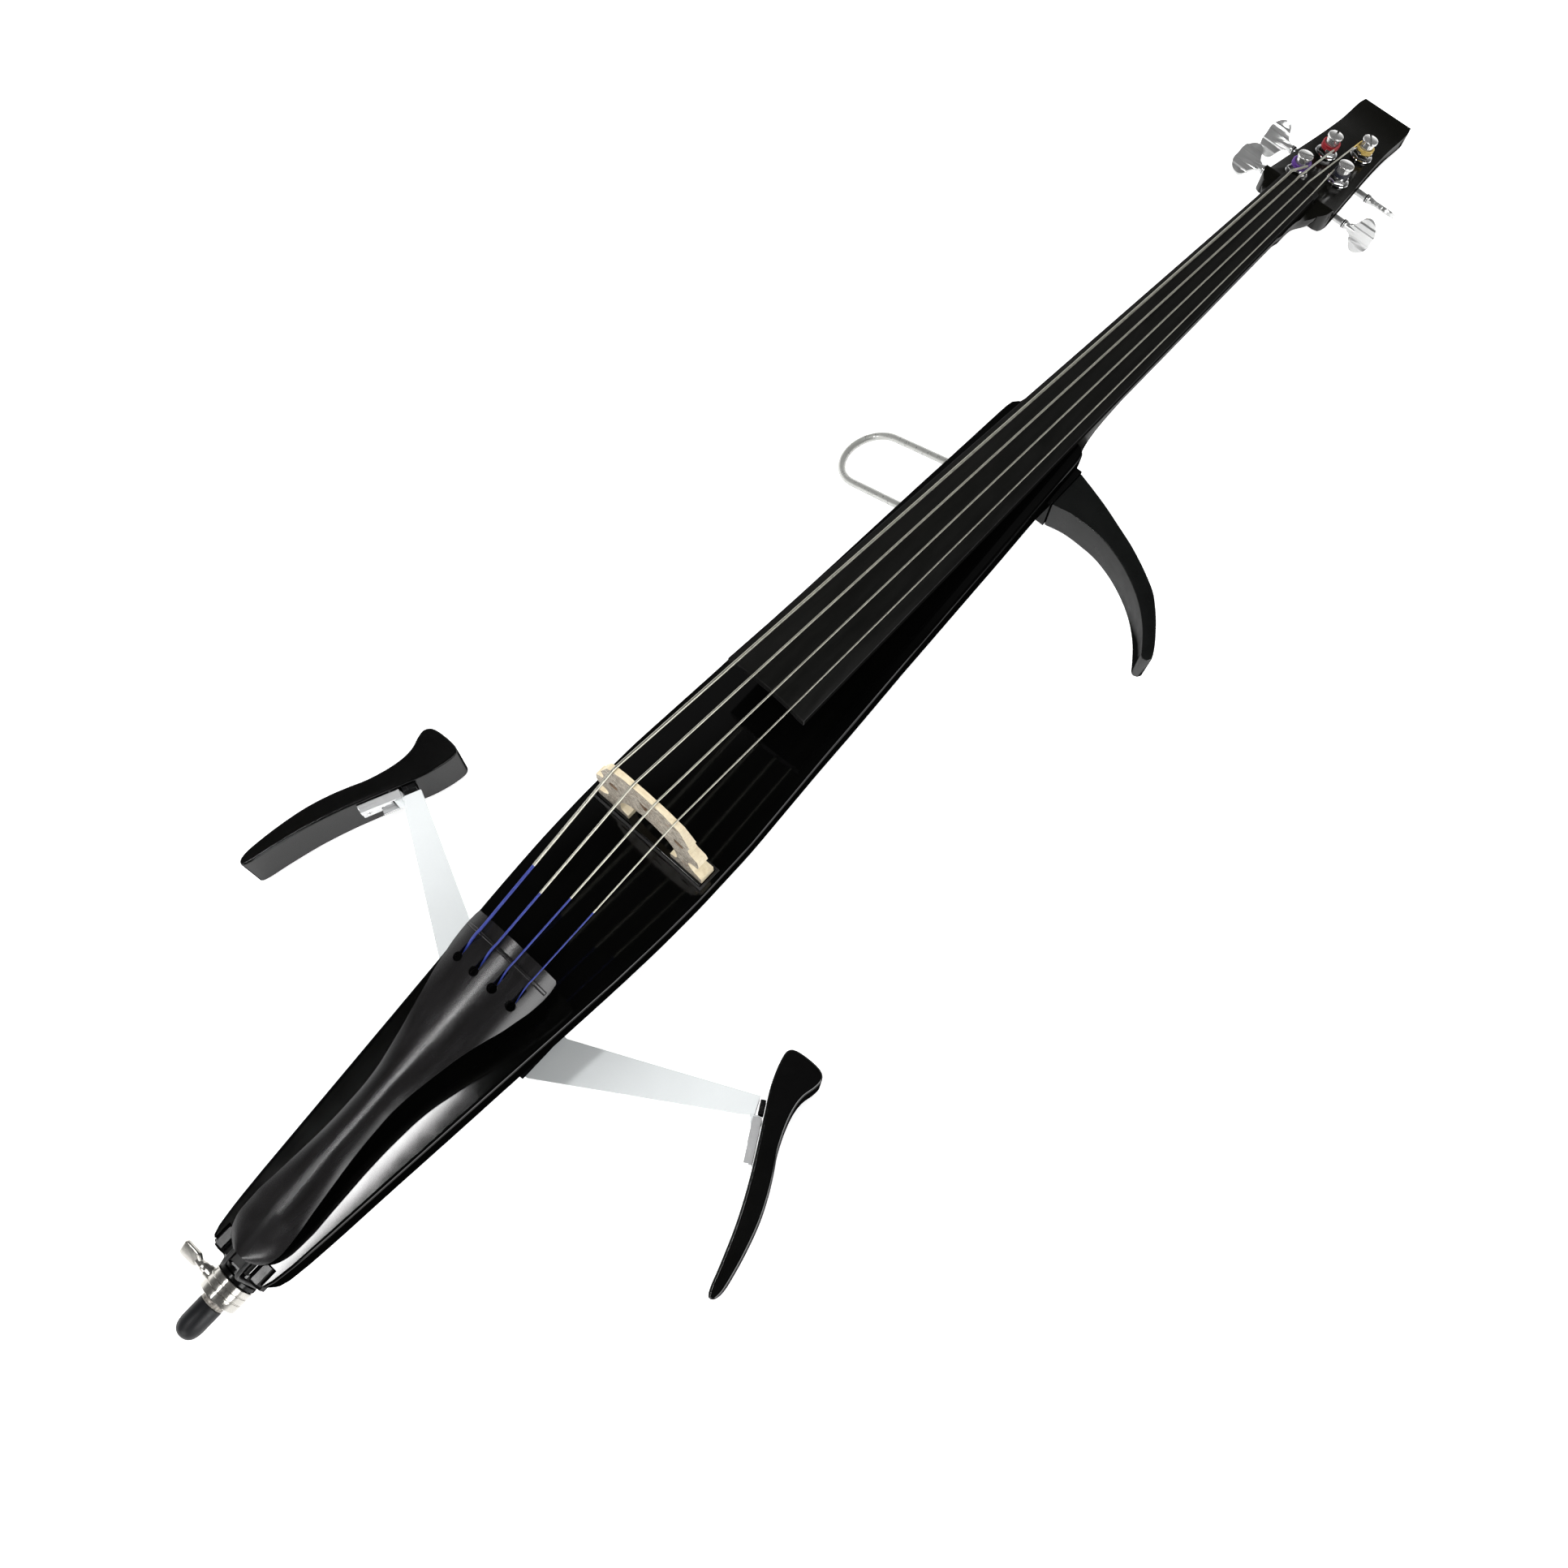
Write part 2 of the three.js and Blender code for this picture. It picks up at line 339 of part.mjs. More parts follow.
const collar = turned([[5.4, 0], [12.8, 0], [12.9, 3.4], [12.3, 3.8], [12.9, 4.2], [12.9, 7.8], [12.3, 8.2], [12.9, 8.6], [12.7, 11.2], [11.4, 12.8], [9.4, 13.8], [5.4, 13.8], [5.4, 0]], 20, V(0, -348.2, PIN_Z), BACK);
piece('endpin_collar', cut(join(collar, rod(V(-9, -355.4, PIN_Z), V(-15.5, -355.4, PIN_Z), 4.0, 14)),
  rod(V(-3, -355.4, PIN_Z), V(-20, -355.4, PIN_Z), 2.9, 12), rod(V(0, -340, PIN_Z), V(0, -368, PIN_Z), 5.4, 16)), CHROME, 0.22, 1);
const wing = new THREE.ExtrudeGeometry(new THREE.Shape([[-22, -2.2], [-24, -5.0], [-34.6, -5.4], [-36, -4.0], [-36, 4.0], [-34.6, 5.4], [-24, 5.0], [-22, 2.2]].map((p) => new THREE.Vector2(p[0], p[1]))), { depth: 3, bevelEnabled: false, steps: 1 }).translate(0, 0, -1.5);
wing.rotateX(0.63);
wing.translate(0, -355.4, PIN_Z);
piece('endpin_thumbscrew', join(rod(V(-5.7, -355.4, PIN_Z), V(-19, -355.4, PIN_Z), 2.5, 12), rod(V(-15.8, -355.4, PIN_Z), V(-19.5, -355.4, PIN_Z), 2.9, 12),
  rod(V(-19.4, -355.4, PIN_Z), V(-24, -355.4, PIN_Z), 2.6, 12, 2.0), wing), CHROME, 0.28, 1);
piece('endpin_rod', turned([[0, 0], [ROD_R, 0], [ROD_R, ROD_IN + 362.4], [7.3, ROD_IN + 362.4], [7.6, ROD_IN + 362.9], [7.6, ROD_IN + 365.8], [4, ROD_IN + 365.8], [4, ROD_IN + 376.6], [0, ROD_IN + 376.6]], 20, V(0, ROD_IN, PIN_Z), BACK), 0xa9acae, 0.35, 1);
const tip = [[0, 23.0], [3.2, 22.5], [5.8, 20.4], [7.4, 17.0], [7.8, 13.0], [7.8, 0], [4.3, 0], [4.3, 11], [0, 11]];
piece('endpin_tip', turned(tip.reverse(), 20, V(0, -366.1, PIN_Z), BACK), 0x101114, 0.7);

// ---------------------------------------------------------------- tuning machines, in the plane of the head plate
TUNERS.forEach(([n, x, v, s, dv, reach, turn, high]) => {
  const grp = new THREE.Group();
  grp.position.set(x, v, 0);
  headGroup.add(grp);
  const post = turned([[0, -21.8], [7.1, -21.8], [7.1, -16.2], [4.7, -16.2], [4.7, 4.8], [POST_R, 5.0], [POST_R, high - 2.5], [6.0, high - 2.4], [6.0, high - 0.5], [5.5, high], [0, high]], 14, V(0, 0, 0), V(0, 0, 1));
  const a = { c: 0.5, g: 1.75, d: -1.0, a: 0.35 }[n];
  const slot = box(-8, 8, -0.8, 0.8, high - 1.8, 20).rotateZ(a);
  piece('post_' + n, cut(post, slot), CHROME, 0.15, 1, grp);
  piece('bushing_' + n, cut(join(new THREE.CylinderGeometry(8.8, 8.8, 1.3, 20).rotateX(Math.PI / 2).translate(0, 0, 0.95), new THREE.CylinderGeometry(7.2, 7.4, 3.3, 6).rotateX(Math.PI / 2).rotateZ(0.3 + x).translate(0, 0, 3.15)),
    rod(V(0, 0, -2), V(0, 0, 9), 5.05, 16)), CHROME, 0.15, 1, grp);
  const plate = join(box(-9, 9, Math.min(-9, dv - 5), Math.max(9, dv + 5), -13.9, -HEAD_T - GAP),
    box(-9, -7, dv - 3.6, dv + 3.6, -22.2, -13), box(7, 9, dv - 3.6, dv + 3.6, -22.2, -13));
  piece('tuner_plate_' + n, cut(plate, rod(V(0, 0, -25), V(0, 0, -8), 5.05, 16), rod(V(-12, dv, WORM_N), V(12, dv, WORM_N), 2.05, 12)), CHROME, 0.25, 1, grp);
  // key: worm, shaft, collar rings and clover paddle, turned about its own axis
  const k = new THREE.Group();
  k.position.set(0, dv, WORM_N);
  k.rotation.x = THREE.MathUtils.degToRad(turn);
  grp.add(k);
  const L = reach - Math.abs(x);
  const leaf = [[2.2, -2.8], [5, -4.0], [8.0, -8.4], [10.6, -13.2], [13.8, -15.0], [18.4, -14.4], [22.6, -10.6], [24.6, -5.4], [24.0, 0], [24.6, 5.4], [22.6, 10.6], [18.4, 14.4], [13.8, 15.0], [10.6, 13.2], [8.0, 8.4], [5, 4.0], [2.2, 2.8]];
  const paddle = new THREE.ExtrudeGeometry(new THREE.Shape(leaf.map((p) => new THREE.Vector2(s * (L + p[0]), p[1]))), { depth: 2.8, bevelEnabled: false, steps: 1 }).translate(0, 0, -1.4);
  const key = join(rod(V(-s * 9.6, 0, 0), V(s * (L + 1), 0, 0), 1.7, 12), rod(V(-s * 6.4, 0, 0), V(s * 6.4, 0, 0), 2.15, 12),
    rod(V(s * 9.4, 0, 0), V(s * (L - 2.5), 0, 0), 2.6, 12), rod(V(s * (L - 1.6), 0, 0), V(s * (L + 0.9), 0, 0), 3.3, 14), rod(V(s * L, 0, 0), V(s * (L + 8), 0, 0), 3.0, 12, 1.9), paddle);
  piece('key_' + n, key, CHROME, 0.15, 1, k);
});

// ---------------------------------------------------------------- strings
const stringSlope = (NUT_TOP - BRIDGE_TOP) / STRING_LENGTH;
STRINGS.forEach(([n, xb, db, xn, dn, r], i) => {
  const sx = SLOT_X[i], zs = (y) => tpCrown(y) - tpDrop(y, sx), ridgeZ = zs(-117.5) + 1.5 + r + GAP + 0.15;
  const pts = [V(sx, -132.2, zs(-132) - 6.5), V(sx, -127.5, zs(-127.5) - 2.2), V(sx, -123.0, zs(-123) + r + 0.55), V(sx + 0.2, -118.9, ridgeZ), V(sx + 0.25, -116.3, ridgeZ + 0.1),
    V(xb, -4.0, BRIDGE_TOP - db + 0.1), V(xb, -2, BRIDGE_TOP - db + 0.33), V(xb, 0, BRIDGE_TOP - db),
    V(xn, STRING_LENGTH - 0.3, NUT_TOP - dn), V(xn, 692.5, NUT_TOP - dn - 0.02), V(xn, 696.4, NUT_TOP - dn - 0.12)];
  // wrap on the post, on the side of the middle line of the head
  const [, px, pv, s] = TUNERS.find((t) => t[0] === n);
  const R = POST_R + r + 0.35, turns = { c: 2.5, g: 2.75, d: 2.75, a: 3.5 }[n], n0 = 5.1 + r, pitch = 2 * r + 0.13, per = 12;
  const top = n0 + pitch * turns;
  const wrap = [];
  // the string meets the wrap on the inner side, below the slotted head, and winds down
  const local = (ang, h) => V(px + R * Math.cos(ang), pv + R * Math.sin(ang), h).applyMatrix4(headMat);
  const start = s > 0 ? Math.PI : 0, dir = s > 0 ? -1 : 1;
  const steps = Math.round(turns * per);
  for (let j = 0; j <= steps; j++) wrap.push(local(start + dir * 2 * Math.PI * j / per, top - (top - n0) * j / steps));
  pts.push(...wrap);
  piece('string_' + n, tube(pts, r, 6), 0xbdb9a8, 0.35, 0.8);
});

// ---------------------------------------------------------------- knee rests, right hand built and mirrored
const armHalf = [[150.6, -71.8], [155.2, -82.3], [148, -88.4], [34, -158.4], [28, -158.6], [20, -158.8], [12, -155.6], [6.6, -149.6], [4.6, -141.5], [6.4, -133], [12, -126.4], [20, -123.4], [36, -124.6]];
const sgn = (pts, s) => (s > 0 ? pts : pts.map((p) => [-p[0], p[1]]));
for (const [nm, s] of [['treble', 1], ['bass', -1]]) {
  const wallDir = V(s * 0.395, -0.918, 0), wallNrm = V(s * -0.918, -0.395, 0);
  const at = (p, along, out, z) => V(s * p[0] + wallDir.x * along + wallNrm.x * out, p[1] + wallDir.y * along + wallNrm.y * out, z);
  const quad = (p, a0, a1, o0, o1, z0, z1) => prismZ([at(p, a0, o0, 0), at(p, a1, o0, 0), at(p, a1, o1, 0), at(p, a0, o1, 0)].map((v) => [v.x, v.y]), z0, z1);
  const wall = [160.6, -79.5], A = [s * ARM_PIVOT[0], ARM_PIVOT[1]], H = [s * PAD_HINGE[0], PAD_HINGE[1]];
  const about = (c, deg) => new THREE.Matrix4().makeTranslation(c[0], c[1], 0).multiply(new THREE.Matrix4().makeRotationZ(s * deg * Math.PI / 180)).multiply(new THREE.Matrix4().makeTranslation(-c[0], -c[1], 0));
  const M1 = about(A, REST_TURN[nm][0]), M2 = M1.clone().multiply(about(H, REST_TURN[nm][1]));
  const arm1 = (g) => unsolid(g).applyMatrix4(M1), pad2 = (g) => (g.getMesh ? unsolid(g) : g).applyMatrix4(M2);
  // arm plate with a folded tab at its end and an eye for the hinge pin
  const arm = cut(join(prismZ(sgn(armHalf, s), ARM_TOP - ARM_T, ARM_TOP), quad(wall, -9.2, 2.6, 6.2, 9.0, ARM_TOP - 15, ARM_TOP - 0.5),
    rod(V(H[0], H[1], ARM_TOP - 15), V(H[0], H[1], ARM_TOP - 0.2), 3.7, 16)),
    rod(V(A[0], A[1], -80), V(A[0], A[1], -60), 4.4, 16), rod(V(H[0], H[1], ARM_TOP - 17), V(H[0], H[1], ARM_TOP + 2), 2.1, 12));
  piece('knee_arm_' + nm, arm1(arm), ALU, 0.35, 1);
  piece('arm_pivot_bolt_' + nm, turned([[0, 0], [6.8, 0], [7.4, 0.8], [7.4, 3.4], [4.0, 3.4], [4.0, 20], [0, 20]], 16, V(A[0], A[1], ARM_TOP - ARM_T - 0.3 - 3.4), V(0, 0, 1)), CHROME, 0.3, 1);
  piece('knee_pad_' + nm, pad2(prismZ(sgn(PAD_OUTLINE, s), PAD_BOTTOM, PAD_TOP)), BLACK, 0.14);
  // black block between the pad and the arm tab, and the bright bracket with the hinge pin
  piece('hinge_block_' + nm, pad2(quad(wall, -9.0, 0.1, 0.6, 4.0, ARM_TOP - 15, PAD_TOP - 2.5)), 0x0d0d0f, 0.5);
  const leafZ = [ARM_TOP - 17.4, ARM_TOP + 2.2];
  const pin = rod(V(H[0], H[1], ARM_TOP - 17.2), V(H[0], H[1], ARM_TOP + 2.0), 1.8, 12);
  const lugs = [leafZ[1] - 1.7, leafZ[0]].map((z) => quad(PAD_HINGE, -2.4, 14, -3.3, 2.4, z, z + 1.7));
  piece('pad_bracket_' + nm, pad2(join(quad(wall, 9.6, 31, 0.7, 3.0, leafZ[0], leafZ[1]), quad(wall, 9.6, 30.4, 0.9, 6.2, ARM_TOP - 3.2, leafZ[1] - 0.3), ...lugs, pin)), CHROME, 0.3, 1);
}
piece('arm_mount', cut(box(-33, 33, -160.5, -121.5, ARM_TOP + GAP, CZ[0] - GAP), rod(V(-22.5, -141, -80), V(-22.5, -141, -50), 4.3, 16), rod(V(22.5, -141, -80), V(22.5, -141, -50), 4.3, 16)), SATIN, 0.5);

// ---------------------------------------------------------------- chest loop, bass side
const lp = [];
const loopMid = (LOOP_Y[0] + LOOP_Y[1]) / 2, loopHalf = (LOOP_Y[1] - LOOP_Y[0]) / 2;
const onLoop = (d, y) => loopAt(-14, y).add(loopDir.clone().multiplyScalar(d));
const straight = 84;
lp.push(onLoop(0, LOOP_Y[0]), onLoop(straight, LOOP_Y[0]));
for (let i = 1; i < 12; i++) { const a = Math.PI * i / 12; lp.push(onLoop(straight + loopHalf * Math.sin(a), loopMid - loopHalf * Math.cos(a))); }
lp.push(onLoop(straight, LOOP_Y[1]), onLoop(0, LOOP_Y[1]));
piece('chest_loop', tube(lp, LOOP_R, 10), CHROME, 0.25, 1);
const sock = prismX([[LOOP_Y[0] - 7, -43.6], [LOOP_Y[1] + 7, -43.6], [LOOP_Y[1] + 7, -28], [LOOP_Y[0] - 7, -28]], -22.5, -12);
piece('loop_socket', cut(sock, rod(loopAt(4, LOOP_Y[0]), loopAt(-40, LOOP_Y[0]), LOOP_R + 0.35, 14), rod(loopAt(4, LOOP_Y[1]), loopAt(-40, LOOP_Y[1]), LOOP_R + 0.35, 14)), SATIN, 0.5);

// ---------------------------------------------------------------- left-hand guide horn, treble side
const hornOut = [[37.0, 373.6], [48.4, 370.5], [65, 365.4], [81, 359.5], [93.5, 354.8], [105.5, 349.2], [116.5, 343.2], [126.6, 336.6], [133.4, 329.8], [139.6, 322.6], [144.8, 315.6], [149.2, 309.0], [152.6, 303.0], [154.4, 298.6]];
const hornIn = [[153.0, 295.9], [149.9, 294.9], [147.8, 296.0], [145.8, 299.0], [142.0, 304.6], [137.4, 310.8], [132.8, 316.0], [126.0, 322.4], [118.4, 328.2], [109.4, 333.6], [99, 338.6], [89, 342.2], [78, 344.8], [66.5, 345.6], [50.8, 345.2], [37.0, 342]];
piece('left_hand_horn', join(prismZ([...hornOut, ...hornIn], -36, -8), rod(V(22, 349, -20), V(40, 349, -20), 2.5, 12), rod(V(22, 365, -20), V(40, 365, -20), 2.5, 12)), SATIN, 0.5);
piece('horn_mount', cut(box(29, 36.7, 340.4, 374.4, -35, -7), clearance, rod(V(20, 349, -20), V(40, 349, -20), 2.9, 12), rod(V(20, 365, -20), V(40, 365, -20), 2.9, 12)), SATIN, 0.3);

// ---------------------------------------------------------------- controls, battery and electronics in the back
const KNOB = [0, 245], SWITCH = [0, 222], JACK = [0, 190];
piece('control_panel', cut(join(box(...PANEL, CZ[0], CZ[0] + 2.4)), rod(V(KNOB[0], KNOB[1], -60), V(KNOB[0], KNOB[1], -40), 3.3, 14),
  box(SWITCH[0] - 6.3, SWITCH[0] + 6.3, SWITCH[1] - 2.4, SWITCH[1] + 2.4, -60, -40), rod(V(JACK[0], JACK[1], -60), V(JACK[0], JACK[1], -40), 5.3, 16)), 0x18191b, 0.6);
piece('volume_knob', join(rod(V(KNOB[0], KNOB[1], CZ[0] - 9), V(KNOB[0], KNOB[1], CZ[0] - 0.4), 8.2, 18, 9), rod(V(KNOB[0], KNOB[1], CZ[0] - 1), V(KNOB[0], KNOB[1], CZ[0] + 9.5), 3.0, 14), box(-0.6, 0.6, KNOB[1] + 3, KNOB[1] + 8.2, CZ[0] - 9.6, CZ[0] - 8)), 0x1c1d1f, 0.5);
piece('power_switch', join(box(SWITCH[0] - 3.4, SWITCH[0] + 0.2, SWITCH[1] - 2.0, SWITCH[1] + 2.0, CZ[0] - 2.2, CZ[0] + 3.5), box(SWITCH[0] - 4.6, SWITCH[0] + 1.4, SWITCH[1] - 3.6, SWITCH[1] + 3.6, CZ[0] + 2.8, CZ[0] + 4.2)), 0x2a2b2d, 0.5);
piece('output_jack', turned([[3.3, -1.6], [6.6, -1.6], [6.6, -0.35], [5.0, -0.35], [5.0, 3.2], [6.4, 3.2], [6.4, 17], [0, 17], [0, 15], [3.3, 15], [3.3, -1.6]], 18, V(JACK[0], JACK[1], CZ[0]), V(0, 0, 1)), 0x9a9c9f, 0.35, 1);
const pegs = [[-19, 172], [19, 172], [-19, 258], [19, 258]].map(([x, y]) => rod(V(x, y, CZ[0] + 2.7), V(x, y, CZ[0] + 18), 2.5, 10));
piece('circuit_board', join(box(-23, 23, 168, 262, CZ[0] + 17.5, CZ[0] + 19.1), box(-9, 4, 236, 246, CZ[0] + 19, CZ[0] + 22), box(6, 14, 205, 217, CZ[0] + 19, CZ[0] + 23), ...pegs), 0x1d4a2c, 0.6);
piece('battery_door', join(box(...DOOR, CZ[0], CZ[0] + 2.6), box(-6, 6, DOOR[2] + 3, DOOR[2] + 5, CZ[0] - 0.9, CZ[0] + 0.5)), 0x18191b, 0.6);
piece('battery', join(box(-13.2, 13.2, 80, 126.5, CZ[0] + 3, CZ[0] + 20), rod(V(-6.3, 126, CZ[0] + 11.5), V(-6.3, 128.6, CZ[0] + 11.5), 2.8, 12), rod(V(6.3, 126, CZ[0] + 11.5), V(6.3, 128.6, CZ[0] + 11.5), 3.6, 6)), 0x4a4d50, 0.4, 0.5);

export default root;
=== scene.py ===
import math

import bmesh
import bpy
import numpy as np
from mathutils import Matrix, Vector


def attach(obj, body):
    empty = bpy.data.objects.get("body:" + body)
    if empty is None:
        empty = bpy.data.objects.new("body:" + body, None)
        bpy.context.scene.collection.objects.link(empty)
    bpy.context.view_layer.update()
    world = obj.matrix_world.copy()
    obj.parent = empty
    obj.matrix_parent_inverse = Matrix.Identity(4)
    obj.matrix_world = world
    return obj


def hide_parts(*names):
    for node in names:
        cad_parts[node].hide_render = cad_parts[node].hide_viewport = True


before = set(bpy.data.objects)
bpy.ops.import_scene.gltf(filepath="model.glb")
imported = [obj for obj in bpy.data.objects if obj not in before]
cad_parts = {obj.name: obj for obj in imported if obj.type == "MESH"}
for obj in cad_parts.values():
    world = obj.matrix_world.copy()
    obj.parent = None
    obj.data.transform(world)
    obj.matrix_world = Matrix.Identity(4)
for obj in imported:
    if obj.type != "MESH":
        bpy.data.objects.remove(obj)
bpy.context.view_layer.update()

scene = bpy.context.scene

# ------------------------------------------------------------------ frame
# Lengths below are millimetres in the bridge frame: x to the treble side, y to the head, z up,
# zero on the body top under the bridge. P() turns them into the part's own frame in metres.
MID = (4.31, 227.8)
TOP = 102.0


def P(x, y, z):
    return Vector(((x - MID[0]) / 1000.0, (y - MID[1]) / 1000.0, (z + TOP) / 1000.0))


# ------------------------------------------------------------------ camera
cam_data = bpy.data.cameras.new("camera")
cam = bpy.data.objects.new("camera", cam_data)
scene.collection.objects.link(cam)
cam_data.sensor_fit = "HORIZONTAL"
cam_data.sensor_width = 36.0
cam_data.lens = 36.0 * 1842.54 / 1932.0
cam_data.clip_start, cam_data.clip_end = 0.02, 60
cam_data.dof.use_dof = False
rot = Matrix(((0.74360644, 0.66838511, 0.01762968), (0.63933301, -0.70307227, -0.3113562), (-0.19571091, 0.24279772, -0.95012973)))
flip = Matrix(((1, 0, 0), (0, -1, 0), (0, 0, -1)))
cam.matrix_world = Matrix.Translation(P(217.8409, -148.6214, 875.1525)) @ (flip @ rot).transposed().to_4x4()
scene.camera = cam


# ------------------------------------------------------------------ curves and tables
def pchip(table):
    """Smooth monotone curve through the table's points."""
    x = np.array([p[0] for p in table], float)
    y = np.array([p[1] for p in table], float)
    h = np.diff(x)
    d = np.diff(y) / h
    m = np.zeros(len(x))
    m[0], m[-1] = d[0], d[-1]
    for i in range(1, len(x) - 1):
        if d[i - 1] * d[i] > 0:
            w1, w2 = 2 * h[i] + h[i - 1], h[i] + 2 * h[i - 1]
            m[i] = (w1 + w2) / (w1 / d[i - 1] + w2 / d[i])

    def f(v):
        v = min(max(v, x[0]), x[-1])
        i = int(min(max(np.searchsorted(x, v) - 1, 0), len(x) - 2))
        t = (v - x[i]) / h[i]
        return float((1 + 2 * t) * (1 - t) ** 2 * y[i] + t * (1 - t) ** 2 * h[i] * m[i] + t * t * (3 - 2 * t) * y[i + 1] + t * t * (t - 1) * h[i] * m[i + 1])

    return f


def catmull(pts, k=4, closed=False):
    """Points along a smooth curve through pts, k steps for each stretch."""
    pts = [Vector(p) for p in pts]
    n = len(pts)
    out = []
    for i in range(n if closed else n - 1):
        if closed:
            a, b, c, d = pts[(i - 1) % n], pts[i], pts[(i + 1) % n], pts[(i + 2) % n]
        else:
            a, b, c, d = pts[max(i - 1, 0)], pts[i], pts[i + 1], pts[min(i + 2, n - 1)]
        lab, lbc, lcd = max((b - a).length, 1e-6) ** 0.5, max((c - b).length, 1e-6) ** 0.5, max((d - c).length, 1e-6) ** 0.5
        m1 = (c - b) + lbc * ((b - a) / lab - (c - a) / (lab + lbc)) if (b - a).length > 1e-5 else (c - b)
        m2 = (c - b) + lbc * ((d - c) / lcd - (d - b) / (lbc + lcd)) if (d - c).length > 1e-5 else (c - b)
        for j in range(k):
            t = j / k
            out.append((2 * t**3 - 3 * t * t + 1) * b + (t**3 - 2 * t * t + t) * m1 + (-2 * t**3 + 3 * t * t) * c + (t**3 - t * t) * m2)
    if not closed:
        out.append(pts[-1])
    return out


def span(a, b, n):
    return [a + (b - a) * i / n for i in range(n + 1)]


# ------------------------------------------------------------------ mesh making
def link(name, me):
    o = bpy.data.objects.new(name, me)
    scene.collection.objects.link(o)
    return o


def make(name, verts, faces, raw=False):
    me = bpy.data.meshes.new(name)
    me.from_pydata([Vector(v) if raw else P(*v) for v in verts], [], faces)
    bm = bmesh.new()
    bm.from_mesh(me)
    bmesh.ops.remove_doubles(bm, verts=bm.verts, dist=2e-6)
    bmesh.ops.recalc_face_normals(bm, faces=bm.faces)
    if bm.calc_volume(signed=True) < 0:
        bmesh.ops.reverse_faces(bm, faces=bm.faces)
    bm.to_mesh(me)
    bm.free()
    for p in me.polygons:
        p.use_smooth = True
    return link(name, me)


def loft(name, rings):
    n, m = len(rings[0]), len(rings)
    verts = [tuple(p) for r in rings for p in r]
    faces = [(j * n + i, j * n + (i + 1) % n, (j + 1) * n + (i + 1) % n, (j + 1) * n + i) for j in range(m - 1) for i in range(n)]
    faces += [tuple(range(n)), tuple((m - 1) * n + i for i in reversed(range(n)))]
    return make(name, verts, faces)


def prism(name, pts, a, b, conv=lambda u, v, w: (u, v, w)):
    n = len(pts)
    verts = [conv(p[0], p[1], w) for w in (a, b) for p in pts]
    faces = [(i, (i + 1) % n, n + (i + 1) % n, n + i) for i in range(n)] + [tuple(range(n)), tuple(n + i for i in reversed(range(n)))]
    return make(name, verts, faces)


IN_Y = lambda u, v, w: (u, w, v)      # outline in x, z, thickness along y
IN_X = lambda u, v, w: (w, u, v)      # outline in y, z, thickness along x


def basis(d):
    d = Vector(d).normalized()
    u = d.orthogonal().normalized()
    return u, d.cross(u), d


def lathe(name, profile, seg, origin, direction, xf=None):
    u, v, d = basis(direction)
    o = Vector(origin)
    verts, faces = [], []
    for r, h in profile:
        for i in range(seg):
            a = 2 * math.pi * i / seg
            p = o + d * h + (u * math.cos(a) + v * math.sin(a)) * r
            verts.append(tuple(xf @ p if xf else p))
    n = len(profile)
    closed = profile[0] == profile[-1]
    for j in range(n - 1):
        for i in range(seg):
            faces.append((j * seg + i, j * seg + (i + 1) % seg, (j + 1) * seg + (i + 1) % seg, (j + 1) * seg + i))
    if not closed:
        for j, r in ((0, profile[0][0]), (n - 1, profile[-1][0])):
            if r > 1e-6:
                faces.append(tuple(j * seg + i for i in range(seg)))
    return make(name, verts, faces)


def rod(name, a, b, r, seg=24, r2=None, xf=None):
    a, b = Vector(a), Vector(b)
    return lathe(name, [(0, 0), (r, 0), (r if r2 is None else r2, (b - a).length), (0, (b - a).length)], seg, a, b - a, xf)


def box(name, x0, x1, y0, y1, z0, z1, xf=None):
    c = [Vector((x, y, z)) for x in (x0, x1) for y in (y0, y1) for z in (z0, z1)]
    c = [xf @ p if xf else p for p in c]
    return make(name, [tuple(p) for p in c], [(0, 1, 3, 2), (4, 6, 7, 5), (0, 4, 5, 1), (2, 3, 7, 6), (0, 2, 6, 4), (1, 5, 7, 3)])


def tube(name, pts, r, sides=12, closed=False, radius=None):
    pts = [Vector(p) for p in pts]
    n = len(pts)
    tang = []
    for i in range(n):
        a = pts[(i - 1) % n] if closed or i else pts[0]
        b = pts[(i + 1) % n] if closed or i < n - 1 else pts[-1]
        tang.append((b - a).normalized())
    u = tang[0].orthogonal().normalized()
    rings = []
    for i in range(n):
        u = (u - tang[i] * u.dot(tang[i])).normalized()
        w = tang[i].cross(u)
        rr = radius(i / max(n - 1, 1)) if radius else r
        rings.append([pts[i] + (u * math.cos(2 * math.pi * k / sides) + w * math.sin(2 * math.pi * k / sides)) * rr for k in range(sides)])
    return loft(name, rings)


def applied(o):
    """The object's modifiers, made part of its mesh."""
    dg = bpy.context.evaluated_depsgraph_get()
    me = bpy.data.meshes.new_from_object(o.evaluated_get(dg))
    old = o.data
    o.modifiers.clear()
    o.data = me
    bpy.data.meshes.remove(old)
    return o


def boolean(a, others, op="DIFFERENCE"):
    for b in others if isinstance(others, (list, tuple)) else [others]:
        m = a.modifiers.new("b", "BOOLEAN")
        m.object, m.operation, m.solver = b, op, "EXACT"
        applied(a)
        bpy.data.objects.remove(b)
    return a


def bevel(o, mm, seg=2, angle=32):
    m = o.modifiers.new("bevel", "BEVEL")
    m.width, m.segments, m.limit_method, m.angle_limit = mm / 1000, seg, "ANGLE", math.radians(angle)
    m.use_clamp_overlap = True
    m.miter_outer = "MITER_ARC"
    return o


